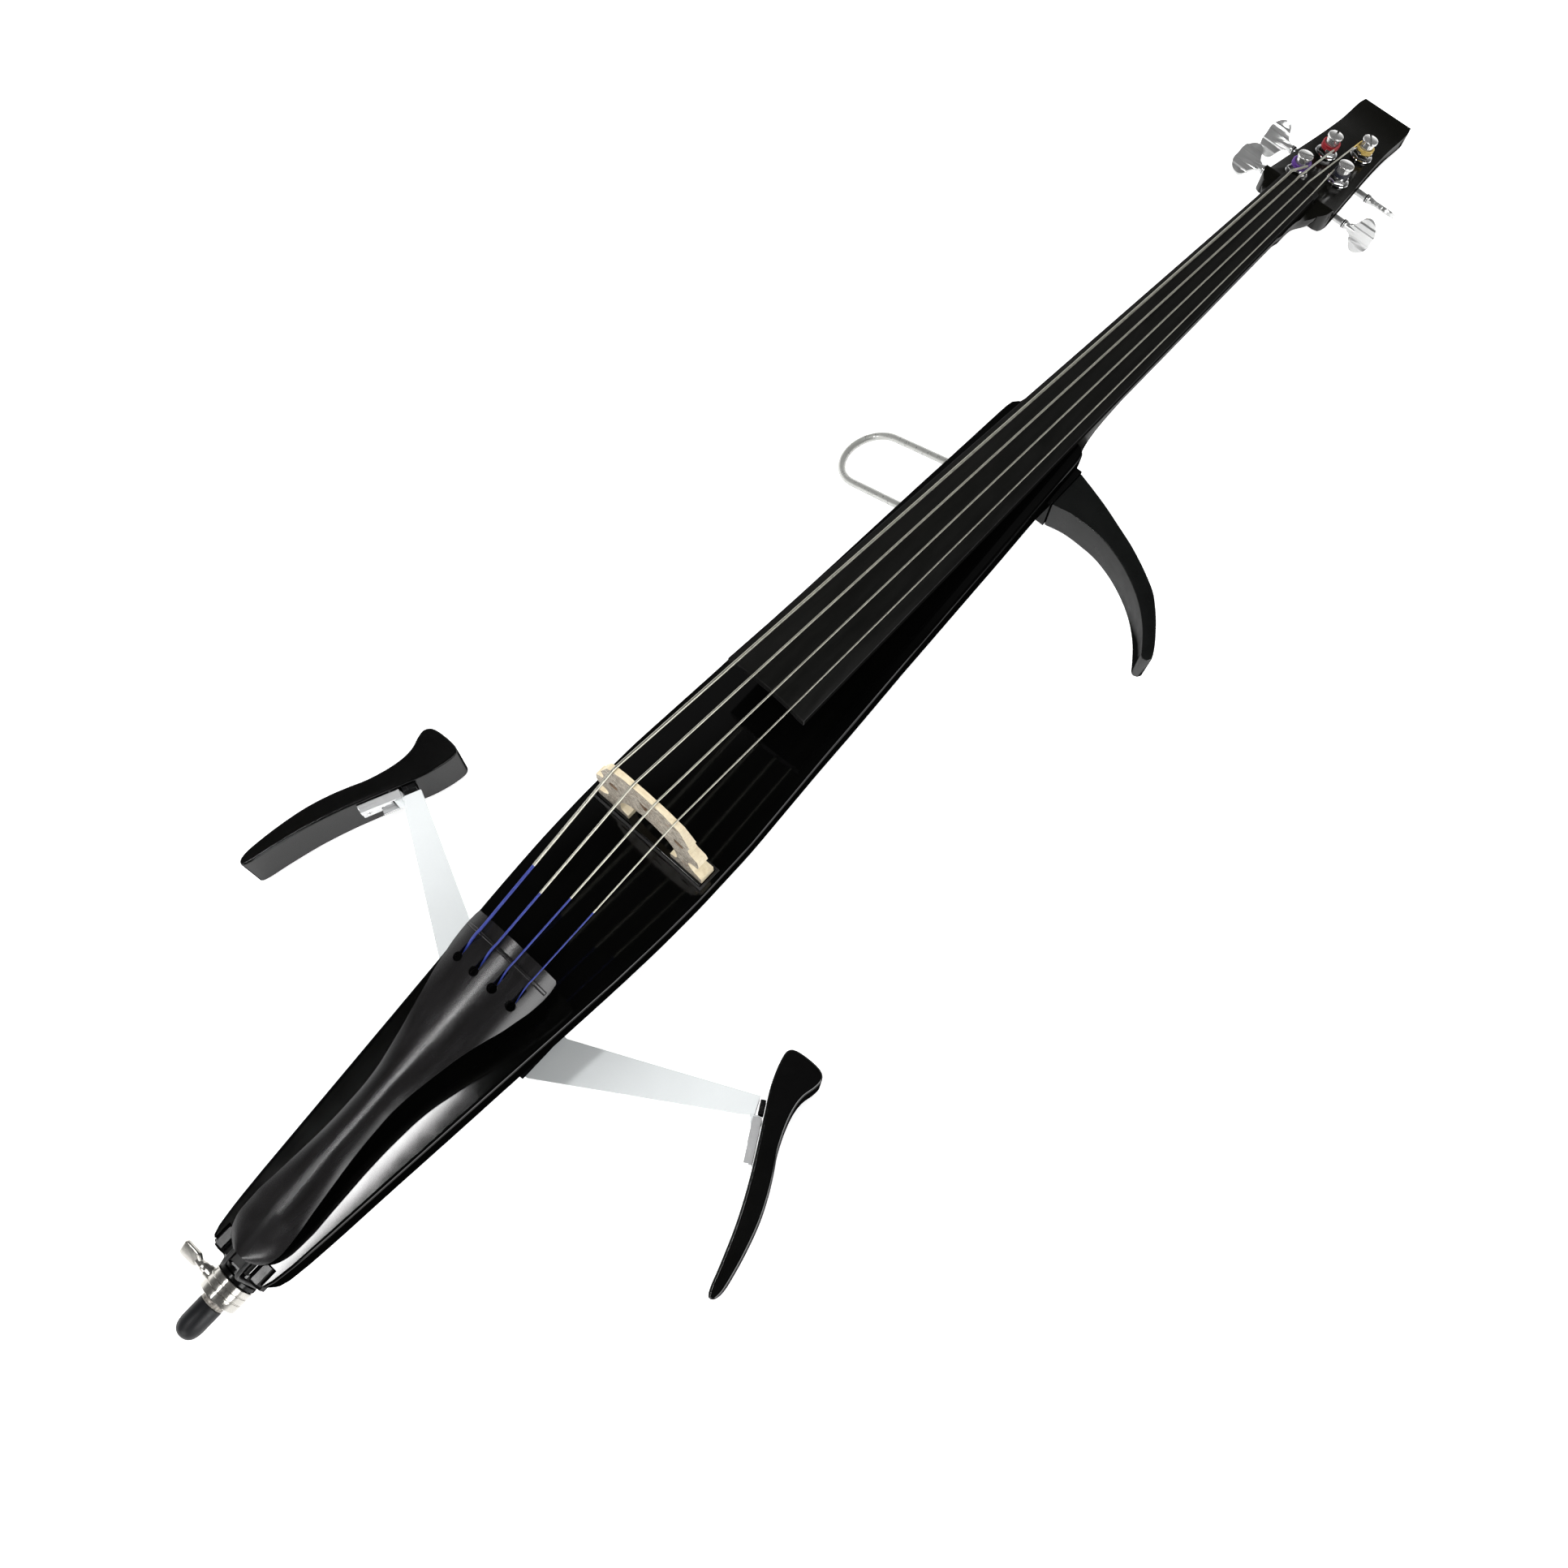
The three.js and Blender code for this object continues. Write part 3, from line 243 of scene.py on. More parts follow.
def tidy(o, dist=4e-6):
    """Merges the loose ends that a cut leaves and joins flat neighbours."""
    bm = bmesh.new()
    bm.from_mesh(o.data)
    bmesh.ops.remove_doubles(bm, verts=bm.verts, dist=dist)
    bmesh.ops.dissolve_degenerate(bm, dist=dist, edges=bm.edges)
    bmesh.ops.dissolve_limit(bm, angle_limit=math.radians(0.4), verts=bm.verts, edges=bm.edges)
    bm.to_mesh(o.data)
    bm.free()
    return o


def done(o, body, mat, nodes=(), soft=None, seg=2, angle=32, sharp=30):
    """Gives a piece its material, soft edges and body, and hides the CAD nodes it stands in for."""
    o.data.materials.clear()
    o.data.materials.append(mat)
    for p in o.data.polygons:
        p.use_smooth, p.material_index = True, 0
    if soft:
        bevel(o, soft, seg, angle)
        w = o.modifiers.new("normals", "WEIGHTED_NORMAL")
        w.weight, w.keep_sharp = 60, True
    else:
        o.data.set_sharp_from_angle(angle=math.radians(sharp))
    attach(o, body)
    if nodes:
        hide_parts(*((nodes,) if isinstance(nodes, str) else nodes))
    return o


def from_cad(node, name):
    """A new piece with the shape of a CAD node, its shared points merged and its flat faces whole."""
    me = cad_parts[node].data.copy()
    me.name = name
    bm = bmesh.new()
    bm.from_mesh(me)
    bmesh.ops.remove_doubles(bm, verts=bm.verts, dist=3e-6)
    bmesh.ops.dissolve_limit(bm, angle_limit=math.radians(0.6), verts=bm.verts, edges=bm.edges)
    bmesh.ops.recalc_face_normals(bm, faces=bm.faces)
    fresh = bpy.data.meshes.new(name)
    bm.to_mesh(fresh)
    bm.free()
    bpy.data.meshes.remove(me)
    return link(name, fresh)


# ------------------------------------------------------------------ materials
class Nodes:
    def __init__(self, name):
        self.m = bpy.data.materials.new(name)
        self.m.use_nodes = True
        self.t = self.m.node_tree
        self.t.nodes.clear()
        self.out = self.new("ShaderNodeOutputMaterial")
        self.b = self.new("ShaderNodeBsdfPrincipled")
        self.link(self.b.outputs[0], self.out.inputs[0])
        self.co = self.new("ShaderNodeTexCoord").outputs["Object"]

    def new(self, kind, **kw):
        n = self.t.nodes.new(kind)
        for k, v in kw.items():
            setattr(n, k, v)
        return n

    def link(self, a, b):
        self.t.links.new(a, b)

    def mapped(self, scale, rotate=(0, 0, 0)):
        n = self.new("ShaderNodeMapping")
        self.link(self.co, n.inputs["Vector"])
        n.inputs["Scale"].default_value = scale
        n.inputs["Rotation"].default_value = rotate
        return n.outputs[0]

    def noise(self, scale, detail=4, rough=0.55, vec=None, distort=0.0):
        n = self.new("ShaderNodeTexNoise")
        n.inputs["Scale"].default_value = scale
        n.inputs["Detail"].default_value = detail
        n.inputs["Roughness"].default_value = rough
        n.inputs["Distortion"].default_value = distort
        self.link(vec or self.co, n.inputs["Vector"])
        return n.outputs["Fac"]

    def range(self, v, lo, hi, a=0.3, b=0.7):
        n = self.new("ShaderNodeMapRange")
        n.clamp = True
        self.link(v, n.inputs["Value"])
        for k, x in zip(("From Min", "From Max", "To Min", "To Max"), (a, b, lo, hi)):
            n.inputs[k].default_value = x
        return n.outputs[0]

    def mix(self, f, a, b, blend="MIX"):
        n = self.new("ShaderNodeMix", data_type="RGBA", blend_type=blend)
        if isinstance(f, (int, float)):
            n.inputs[0].default_value = f
        else:
            self.link(f, n.inputs[0])
        for i, c in ((6, a), (7, b)):
            if isinstance(c, (tuple, list)):
                n.inputs[i].default_value = (*c[:3], 1)
            else:
                self.link(c, n.inputs[i])
        return n.outputs[2]

    def math(self, op, a, b=0.0):
        n = self.new("ShaderNodeMath", operation=op)
        for i, v in ((0, a), (1, b)):
            if isinstance(v, (int, float)):
                n.inputs[i].default_value = v
            else:
                self.link(v, n.inputs[i])
        return n.outputs[0]

    def bump(self, h, strength, dist=0.0002, then=None):
        n = self.new("ShaderNodeBump")
        n.inputs["Strength"].default_value = strength
        n.inputs["Distance"].default_value = dist
        self.link(h, n.inputs["Height"])
        if then:
            self.link(then, n.inputs["Normal"])
        return n.outputs[0]

    def set(self, **kw):
        for k, v in kw.items():
            s = self.b.inputs[k.replace("_", " ")]
            if isinstance(v, (int, float)):
                s.default_value = v
            elif isinstance(v, (tuple, list)):
                s.default_value = (*v[:3], 1)
            else:
                self.link(v, s)
        return self


def graze(n, spec, lo=0.15, hi=0.74):
    """Less gloss where the surface is seen edge-on, so a dark moulding isn't washed out by the pale floor."""
    lw = n.new("ShaderNodeLayerWeight")
    lw.inputs["Blend"].default_value = 0.5
    r = n.new("ShaderNodeMapRange", interpolation_type="SMOOTHSTEP")
    n.link(lw.outputs["Facing"], r.inputs["Value"])
    for k, x in zip(("From Min", "From Max", "To Min", "To Max"), (lo, hi, spec, 0.0)):
        r.inputs[k].default_value = x
    n.link(r.outputs[0], n.b.inputs["Specular IOR Level"])
    return n


def shade(c, k):
    return tuple(min(1, x * k) for x in c[:3])


def plain(name, color, rough, metal=0.0, vary=0.18, scale=60, rvary=0.05, grain=0.0, gscale=700, gdist=0.0001, spec=0.5, stretch=None, coat=0.0, coat_rough=0.05):
    """Moulded, painted, plated or cast surface: broad tone change, uneven roughness and a fine surface texture."""
    n = Nodes(name)
    vec = n.mapped(stretch) if stretch else None
    broad = n.noise(scale, 3, 0.5, vec)
    col = n.mix(n.range(broad, 0, 1), shade(color, 1 - vary), shade(color, 1 + vary))
    fine = n.noise(gscale, 3, 0.6, vec)
    col = n.mix(n.range(fine, 0, 0.35), col, shade(color, 1 - vary * 1.6))
    n.set(Base_Color=col, Roughness=n.range(n.noise(scale * 3.1, 3, 0.6, vec), max(0.02, rough - rvary), rough + rvary))
    n.set(Metallic=metal)
    n.b.inputs["Specular IOR Level"].default_value = spec
    n.b.inputs["Coat Weight"].default_value = coat
    n.b.inputs["Coat Roughness"].default_value = coat_rough
    if grain:
        n.set(Normal=n.bump(fine, grain, gdist))
    return n


def wood(name, dark, light, rough, along="y", pore=0.35, scale=1.0, spec=0.45, rvary=0.07, coat=0.0, relief=1.0):
    """Straight-grained timber whose fibres run along one axis, with open pores."""
    n = Nodes(name)
    s = {"x": (6, 160, 160), "y": (160, 6, 160), "z": (160, 160, 6)}[along]
    s = tuple(v * scale for v in s)
    grain = n.noise(1.0, 6, 0.62, n.mapped(s), 0.35)
    s2 = tuple(v * 5 for v in s)
    pores = n.noise(1.0, 2, 0.5, n.mapped(s2))
    broad = n.noise(7, 2, 0.5)
    col = n.mix(n.range(grain, 0, 1, 0.32, 0.68), dark, light)
    col = n.mix(n.range(pores, 0, pore, 0.55, 0.72), col, shade(dark, 0.5))
    col = n.mix(n.range(broad, 0.0, 0.3), col, shade(light, 1.1))
    n.set(Base_Color=col, Roughness=n.range(grain, rough - rvary, rough + rvary))
    n.set(Normal=n.bump(pores, 0.22 * relief, 0.00008, n.bump(grain, 0.16 * relief, 0.0001)))
    n.b.inputs["Specular IOR Level"].default_value = spec
    n.b.inputs["Coat Weight"].default_value = coat
    n.b.inputs["Coat Roughness"].default_value = 0.12
    return n


LACQUER = graze(plain("black_lacquer_mat", (0.0013, 0.00135, 0.0013), 0.065, vary=0.25, rvary=0.012, scale=22, grain=0.035, gscale=500, gdist=0.00002), 0.27).m
HEADLAC = graze(plain("head_lacquer_mat", (0.0042, 0.0042, 0.0034), 0.15, vary=0.2, rvary=0.03, scale=30, grain=0.03, gscale=300, gdist=0.00004), 0.18, 0.3, 0.9).m
BACKPAINT = plain("back_paint_mat", (0.008, 0.008, 0.0085), 0.34, vary=0.2, rvary=0.06, scale=25, grain=0.12, gscale=900, gdist=0.00005).m
FINGER = graze(wood("fingerboard_ebony_mat", (0.0038, 0.0038, 0.0036), (0.0062, 0.0062, 0.0058), 0.36, pore=0.2, rvary=0.06, spec=0.42, relief=0.4), 0.165, 0.25, 0.8).m
EBONY = graze(wood("tailpiece_ebony_mat", (0.0055, 0.0052, 0.0054), (0.0115, 0.011, 0.0114), 0.23, pore=0.1, rvary=0.03, spec=0.55, relief=0.06), 0.36, 0.3, 0.85).m
RAWWOOD = wood("bare_wood_mat", (0.42, 0.27, 0.14), (0.62, 0.45, 0.27), 0.62, along="x").m
MOULD = graze(plain("black_moulding_mat", (0.004, 0.004, 0.0042), 0.24, vary=0.2, rvary=0.06, scale=50, grain=0.08, gscale=1200, gdist=0.00004), 0.5, 0.2, 0.8).m
GLOSS = graze(plain("gloss_moulding_mat", (0.0022, 0.0022, 0.0023), 0.19, vary=0.2, rvary=0.03, scale=50, grain=0.02, gscale=500, gdist=0.00003), 0.24, 0.2, 0.8).m
MATTE = plain("matte_moulding_mat", (0.010, 0.0105, 0.0112), 0.5, vary=0.2, rvary=0.08, scale=60, grain=0.25, gscale=1500, gdist=0.00006).m
HORN = graze(plain("horn_moulding_mat", (0.0042, 0.0046, 0.0044), 0.31, vary=0.2, rvary=0.05, scale=35, grain=0.22, gscale=1100, gdist=0.00005, spec=0.5), 0.5, 0.2, 0.8).m
PADBLACK = graze(plain("pad_gloss_mat", (0.0028, 0.0028, 0.0028), 0.12, vary=0.2, rvary=0.03, scale=30, grain=0.04, gscale=260, gdist=0.00005), 0.5, 0.15, 0.78).m
GASKET = plain("gasket_rubber_mat", (0.012, 0.0125, 0.013), 0.5, vary=0.25, rvary=0.08, scale=90, grain=0.2, gscale=1400).m
RUBBER = plain("tip_rubber_mat", (0.0055, 0.0057, 0.007), 0.46, vary=0.22, rvary=0.07, scale=120, grain=0.25, gscale=1700, gdist=0.00006, spec=0.3).m
CHROME = plain("chrome_mat", (0.78, 0.78, 0.78), 0.07, 1.0, vary=0.04, rvary=0.025, scale=120, grain=0.03, gscale=260, gdist=0.00006).m
KEYMET = plain("key_plate_mat", (0.60, 0.605, 0.60), 0.16, 0.70, vary=0.04, rvary=0.03, scale=120, grain=0.01, gscale=400, gdist=0.00003).m
PLATED = plain("bracket_plate_mat", (0.72, 0.725, 0.73), 0.22, 0.55, vary=0.05, rvary=0.05, scale=120, grain=0.03, gscale=400, gdist=0.00004).m
POSTMET = plain("post_plate_mat", (0.62, 0.62, 0.61), 0.14, 0.76, vary=0.05, rvary=0.03, scale=160, grain=0.03, gscale=300, gdist=0.00005).m
NICKEL = plain("nickel_mat", (0.50, 0.485, 0.45), 0.19, 0.88, vary=0.08, rvary=0.05, scale=160, grain=0.05, gscale=900, gdist=0.00004).m
STEEL = plain("rod_steel_mat", (0.52, 0.53, 0.54), 0.28, 1.0, vary=0.08, rvary=0.06, scale=30, grain=0.15, gscale=240, stretch=(1, 0.15, 1), gdist=0.00005).m
LOOPSTEEL = plain("loop_steel_mat", (0.52, 0.525, 0.50), 0.30, 0.55, vary=0.07, rvary=0.06, scale=70, grain=0.12, gscale=500, gdist=0.00004).m
ALU = plain("arm_aluminium_mat", (0.735, 0.765, 0.77), 0.46, 0.08, vary=0.025, rvary=0.06, scale=26, grain=0.15, gscale=900, gdist=0.00005, spec=0.5).m
BOARD = plain("board_green_mat", (0.03, 0.13, 0.05), 0.45, vary=0.25, rvary=0.08, scale=200, grain=0.2, gscale=900).m
BRASSY = plain("pickup_brass_mat", (0.55, 0.42, 0.18), 0.3, 1.0, vary=0.1, rvary=0.06, scale=100, grain=0.1).m
BATTERY = plain("battery_case_mat", (0.11, 0.12, 0.13), 0.35, 0.4, vary=0.12, rvary=0.06, scale=80, grain=0.1).m
CORD = plain("cord_mat", (0.008, 0.008, 0.008), 0.5, vary=0.3, rvary=0.08, scale=300, grain=0.5, gscale=1600, gdist=0.0002).m
BLAST = plain("blasted_ring_mat", (0.30, 0.28, 0.25), 0.45, 0.8, vary=0.55, rvary=0.12, scale=700, grain=0.9, gscale=900, gdist=0.0003).m


def maple():
    """Bare maple: cream edges, a cut face full of grey-tan figure, and painted shade: darker walls in the small
    openings of the eye and pockets.
    """
    n = Nodes("bridge_maple_mat")
    normal = n.new("ShaderNodeTexCoord").outputs["Normal"]
    sep, pos = n.new("ShaderNodeSeparateXYZ"), n.new("ShaderNodeSeparateXYZ")
    n.link(normal, sep.inputs[0])
    n.link(n.co, pos.inputs[0])
    face = n.range(n.math("ABSOLUTE", sep.outputs[1]), 0, 1, 0.55, 0.85)
    curl = n.noise(1.0, 4, 0.72, n.mapped((170, 170, 260)), 2.4)
    fleck = n.noise(1.0, 3, 0.65, n.mapped((360, 360, 820)), 2.5)
    knot = n.noise(1.0, 2, 0.5, n.mapped((130, 130, 300)), 1.5)
    grain = n.noise(1.0, 4, 0.6, n.mapped((60, 500, 900)), 0.3)
    cream = n.mix(n.range(grain, 0, 1), (0.66, 0.55, 0.36), (0.80, 0.71, 0.51))
    tan = n.mix(n.range(curl, 0, 1, 0.42, 0.58), (0.20, 0.17, 0.13), (0.66, 0.61, 0.52))
    tan = n.mix(n.range(fleck, 0.15, 1, 0.38, 0.52), (0.15, 0.12, 0.09), tan)
    tan = n.mix(n.range(fleck, 1, 0.35, 0.56, 0.70), (0.66, 0.60, 0.50), tan)
    tan = n.mix(n.range(knot, 0, 0.7, 0.62, 0.68), tan, (0.33, 0.20, 0.12))
    tan = n.mix(n.range(knot, 0.6, 0, 0.30, 0.38), tan, (0.55, 0.49, 0.40))
    col = n.mix(face, cream, tan)
    # painted shade: the walls of the heart eye and the side pockets turn dark brown, as if shade falls in the holes
    hole_shade = n.math("MULTIPLY", n.math("LESS_THAN", n.math("ABSOLUTE", n.math("ADD", pos.outputs[0], 0.00431)), 0.0315), n.math("LESS_THAN", n.math("ABSOLUTE", n.math("SUBTRACT", pos.outputs[2], 0.1525)), 0.0115))
    hole_shade = n.math("MULTIPLY", hole_shade, n.math("SUBTRACT", 1.0, face))
    col = n.mix(hole_shade, col, (0.20, 0.135, 0.085))
    n.set(Base_Color=col, Roughness=n.range(curl, 0.5, 0.66))
    n.set(Normal=n.bump(fleck, 0.3, 0.00012))
    return n.m


MAPLE = maple()


def thread(name, a, b, rough=0.6, scale=1500, metal=0.0, depth=0.5, dist=0.0001, groove_shade=0.55):
    """Fine winding round a string: close bands along the string, with painted shade darkening the troughs between
    turns.
    """
    n = Nodes(name)
    w = n.new("ShaderNodeTexWave", wave_type="BANDS", bands_direction="Y", wave_profile="SIN")
    w.inputs["Scale"].default_value = scale
    w.inputs["Distortion"].default_value = 0.6
    w.inputs["Detail"].default_value = 1
    n.link(n.co, w.inputs["Vector"])
    tone = n.noise(400, 3, 0.6)
    col = n.mix(n.range(tone, 0, 1), a, b)
    # painted shade: the troughs between winding turns are darkened towards a shade of the thread colour
    col = n.mix(n.range(w.outputs["Fac"], 0, 0.3, 0, 1), col, shade(a, groove_shade))
    n.set(Base_Color=col, Roughness=n.range(tone, rough - 0.07, rough + 0.07), Normal=n.bump(w.outputs["Fac"], depth, dist))
    n.set(Metallic=metal)
    return n.m


STRING = thread("string_steel_mat", (0.40, 0.39, 0.33), (0.56, 0.545, 0.47), 0.36, 500, 0.8, 0.08, 0.00003, 0.85)
SILK_TAIL = thread("silk_blue_mat", (0.012, 0.022, 0.19), (0.02, 0.045, 0.33), 0.5, 400)
SILK = {
    "c": thread("silk_purple_mat", (0.075, 0.02, 0.20), (0.15, 0.05, 0.36), 0.5, 500),
    "g": thread("silk_red_mat", (0.26, 0.006, 0.014), (0.45, 0.02, 0.03), 0.5, 500),
    "d": thread("silk_gold_mat", (0.46, 0.30, 0.05), (0.74, 0.56, 0.17), 0.5, 500),
    "a": thread("silk_dark_mat", (0.006, 0.007, 0.015), (0.015, 0.017, 0.035), 0.5, 500),
}

BODY = "instrument_body"

# ------------------------------------------------------------------ body
BODY_W = [(-336, 20.0), (-335, 21.3), (-325, 23.9), (-302, 26.8), (-259, 30.6), (-214, 34.8), (-169, 38.8), (-122, 43.0), (-74, 46.9), (-40, 48.8), (-10, 49.5), (25, 49.2), (64, 47.2), (103, 44.9), (136, 43.4), (190, 40.3), (240, 38.0), (291, 35.7), (330, 33.6), (360, 32.2), (376, 31.3), (381, 30.4), (384.3, 27.6)]
body_w = pchip(BODY_W)
GAP = 0.3


def body_half(w, dz=0.0):
    out = [(w - 1.7 + 1.7 * math.sin(a), -1.7 + 1.7 * math.cos(a)) for a in span(0, math.pi / 2, 7)]
    side = pchip([(1.7, 1.0), (14, 1.0), (27, 0.965), (38, 0.89), (46, 0.8)])
    out += [(w * side(d), -d) for d in (8, 14, 18, 22, 27, 31, 35, 38, 41, 43.5)] + [(w * 0.8, -46 + dz)]
    return out


def sym(y, half):
    return [(x, y, z) for x, z in half] + [(-x, y, z) for x, z in reversed(half)]


ys = sorted(set([p[0] for p in BODY_W[:3]] + [p[0] for p in BODY_W[-4:]] + [-330] + span(-325, 376, 90)))
shell = loft("body_hull", [sym(y, body_half(body_w(y))) for y in ys])
rim = pchip([(14, 1.0), (27, 0.965), (38, 0.89), (46, 0.8)])


def cav_half(w):
    c = w - 4
    return [(c - 1.5, -5.0), (c, -6.5), (c, -14), (0.965 * w - 4, -27), (0.89 * w - 4, -38), (0.8 * w - 3.2, -47)]


cavity = loft("cavity", [sym(y, cav_half(body_w(y))) for y in span(-321, 371.5, 50)])
LOOP_DIR = Vector((-1, 0, -0.434)).normalized()
loop_at = lambda x, y: Vector((x, y, -45 - 0.434 * (-x - 41)))
LOOP_Y = (292.3, 340.3)
keep = box("keep", -60, 60, -20, 18, -14, -4)
boolean(cavity, keep)
boolean(shell, cavity)
boolean(shell, [box("c1", -45.7, 45.7, -9.6, 8.4, -7, 1), box("c2", -20.0, 20.0, 370, 386, -44.3, -5.3), rod("c3", (0, -338, -24), (0, -318, -24), 12.3, 48),
                box("c4", 9.6, 19.4, -337, -325, -12, 1), box("c5", -19.4, -9.6, -337, -325, -12, 1), box("c6", -9.3, 9.3, -338, -326.2, -3, 1)])
boolean(shell, [rod("l1", loop_at(-20, LOOP_Y[0]), loop_at(-45, LOOP_Y[0]), 3.3, 24), rod("l2", loop_at(-20, LOOP_Y[1]), loop_at(-45, LOOP_Y[1]), 3.3, 24),
                rod("h1", (20, 349, -20), (40, 349, -20), 2.9, 20), rod("h2", (20, 365, -20), (40, 365, -20), 2.9, 20)])
tidy(shell)
done(shell, BODY, LACQUER, "body_shell", soft=0.35, seg=2, angle=38)

done(from_cad("back_cover", "back_cover_plate"), BODY, BACKPAINT, "back_cover", soft=0.5, seg=2)
done(from_cad("end_block", "end_block_wood"), BODY, RAWWOOD, "end_block", soft=0.4)

# ------------------------------------------------------------------ fingerboard, neck, nut
fb_hw = lambda y: 30.3 + (15.4 - 30.3) * (y - 99) / (684 - 99)
fb_crown = lambda y: 56.2 - 0.1545 * (y - 99)
arc = lambda x: math.sqrt(62 * 62 - x * x) - 62
fb_under = lambda y: fb_crown(y) + arc(fb_hw(y)) - 6.5
neck_top = lambda y: fb_under(y) - GAP


def fb_ring(y):
    hw, c = fb_hw(y), fb_crown(y)
    e, under = c + arc(hw), fb_under(y)
    hollow = 1.0 if y < 385 else 0.0
    kx = -8 * hw / 31
    top = [(hw * q, c + arc(hw * q)) for q in span(1, 0, 14)] + [(-hw * q, c + arc(hw * q)) for q in span(0.07, 0.24, 3)]
    a0, z0 = -hw * 0.26, c + arc(hw * 0.26)
    top += [(a0 + (-hw - a0) * q, z0 + (e - z0) * q + 0.35 * math.sin(math.pi * q)) for q in (0.25, 0.5, 0.75, 1.0)]
    lift = min(8, max(0.01, c - 8 - under)) * hollow
    low = [(-hw, under)] + [(hw * q, under + lift * (1 - min(1, abs(q) / 0.86) ** 2.4)) for q in span(-0.86, 0.86, 12)] + [(hw, under)]
    return [(x, y, z) for x, z in top + low]


fb = loft("fingerboard_ebony", [fb_ring(y) for y in [99, 99.4, 100, 130, 180, 230, 280, 330, 380, 384.6, 385.6, 420, 470, 520, 570, 620, 660, 689.4]])
done(fb, BODY, FINGER, "fingerboard", soft=0.45, seg=3, angle=35)

HEAD_Y, HEAD_Z, SLOPE, HEAD_END, HEAD_FOOT = 690, -50.9, 0.2537, 843.5, 843
TILT = math.atan(SLOPE)
head_bottom = lambda y: -TOP + SLOPE * (HEAD_FOOT - y)
HEAD_T = (HEAD_Z - head_bottom(HEAD_Y)) * math.cos(TILT)
flare = pchip([(384.8, 27.0), (390, 26.0), (396, 24.6), (404, 23.3), (414, 22.5), (426, 22.0), (442, fb_hw(442) - 0.2)])
end_hw = pchip([(640, fb_hw(640) - 0.2), (660, fb_hw(660) - 0.2), (669, 16.6), (675, 18.8), (679.5, 21.6), (683.5, 23.8), (687.5, 24.8), (691.5, 24.6), (696, 24.0)])
end_d = pchip([(640, 19), (660, 19), (669, 19.4), (675, 20.4), (679.5, 21.4), (683.5, 22), (687.5, 22), (691.5, 20.5), (696, 17.5)])


def neck_ring(y):
    s = min(1, (y - 384.8) / 57)
    if y <= 640:
        hw = flare(y) if y < 442 else fb_hw(y) - 0.2
        d = 19 + (44.2 + neck_top(384.8) - 19) * (1 - s) ** 2.2
        hwt, top, n = fb_hw(y) - GAP, neck_top(y), 2.3 + 1.2 * (1 - s)
    else:
        hw, d, n = end_hw(y), end_d(y), 2.3 + 0.2 * min(1, (y - 640) / 30)
        hwt = fb_hw(y) - GAP + (min(hw, fb_hw(y) + 2) - fb_hw(y) + GAP) * min(1, (y - 640) / 25)
        top = min(neck_top(y), neck_top(690))
    r = [(hwt, y, top)]
    for i in range(25):
        a = math.pi * i / 24
        c, sn = math.cos(a), math.sin(a)
        r.append((hw * math.copysign(abs(c) ** (2 / n), c), y, top - 3 - (d - 3) * sn ** (2 / n)))
    r.append((-hwt, y, top))
    return r


neck = loft("neck_wood", [neck_ring(y) for y in [384.8, 387, 390, 393, 396, 400, 404, 409, 414, 420, 426, 434, 442, 460, 480, 500, 530, 560, 590, 620, 640, 652, 660, 665, 669, 672, 675, 677.5, 679.5, 681.5, 683.5, 685.5, 687.5, 689.5, 691.5, 694, 696]])
heel = box("heel", -19.7, 19.7, 352, 388, -44, -5.6)
side = [(686, -46), (696.5, neck_top(690)), (699, -47.5), (703, HEAD_Z - SLOPE * 13)]
for y in (806, 812, 816, 820, 824, 828, 832, 836, 840, HEAD_END):
    side.append((y, HEAD_Z - SLOPE * (y - HEAD_Y) + (2.4 * ((y - 812) / 31) ** 2 if y > 812 else 0)))
side += [(HEAD_END + 1.2, head_bottom(HEAD_END) + 2), (HEAD_FOOT, head_bottom(HEAD_FOOT)), (828, head_bottom(828)), (690, head_bottom(690)), (686, -60)]
HEAD_W = [(684, 23), (688, 27.0), (692, 29.6), (698, 30.7), (705, 30.4), (724, 28.8), (745, 27.1), (768, 25.2), (789, 23.8), (806, 23.1), (819, 23.2), (830, 23.4), (837, 23.2), (843, 22.0), (848, 21.2)]
right = [(p[0], p[1]) for p in catmull([(w, y, 0) for y, w in HEAD_W], 4)]
head = prism("head_side", side, -40, 40, IN_X)
boolean(head, prism("head_plan", right + [(-x, y) for x, y in reversed(right)], -120, -20), "INTERSECT")
tidy(head)
bevel(head, 0.9, 3, 40)
applied(head)
HEADM = Matrix.Translation((0, HEAD_Y, HEAD_Z)) @ Matrix.Rotation(-TILT, 4, "X")
TUNERS = [("c", -13.4, 29.0, -1, 9.7, 39.4, 25, 17.2), ("g", -9.8, 71.2, -1, 9.7, 37.3, 58, 16.9), ("d", 10.9, 93.2, 1, -9.7, 35.8, -33, 16.0), ("a", 13.1, 50.3, 1, -9.7, 38.2, 90, 15.4)]
boolean(neck, [heel, head], "UNION")
boolean(neck, [rod("pb" + t[0], (t[1], t[2], -16), (t[1], t[2], 6), 6.0, 32, xf=HEADM) for t in TUNERS])
tidy(neck, 1e-6)
done(neck, BODY, HEADLAC, "neck", sharp=33)
done(from_cad("nut", "nut_ebony"), BODY, FINGER, "nut", soft=0.35, seg=3, angle=25)

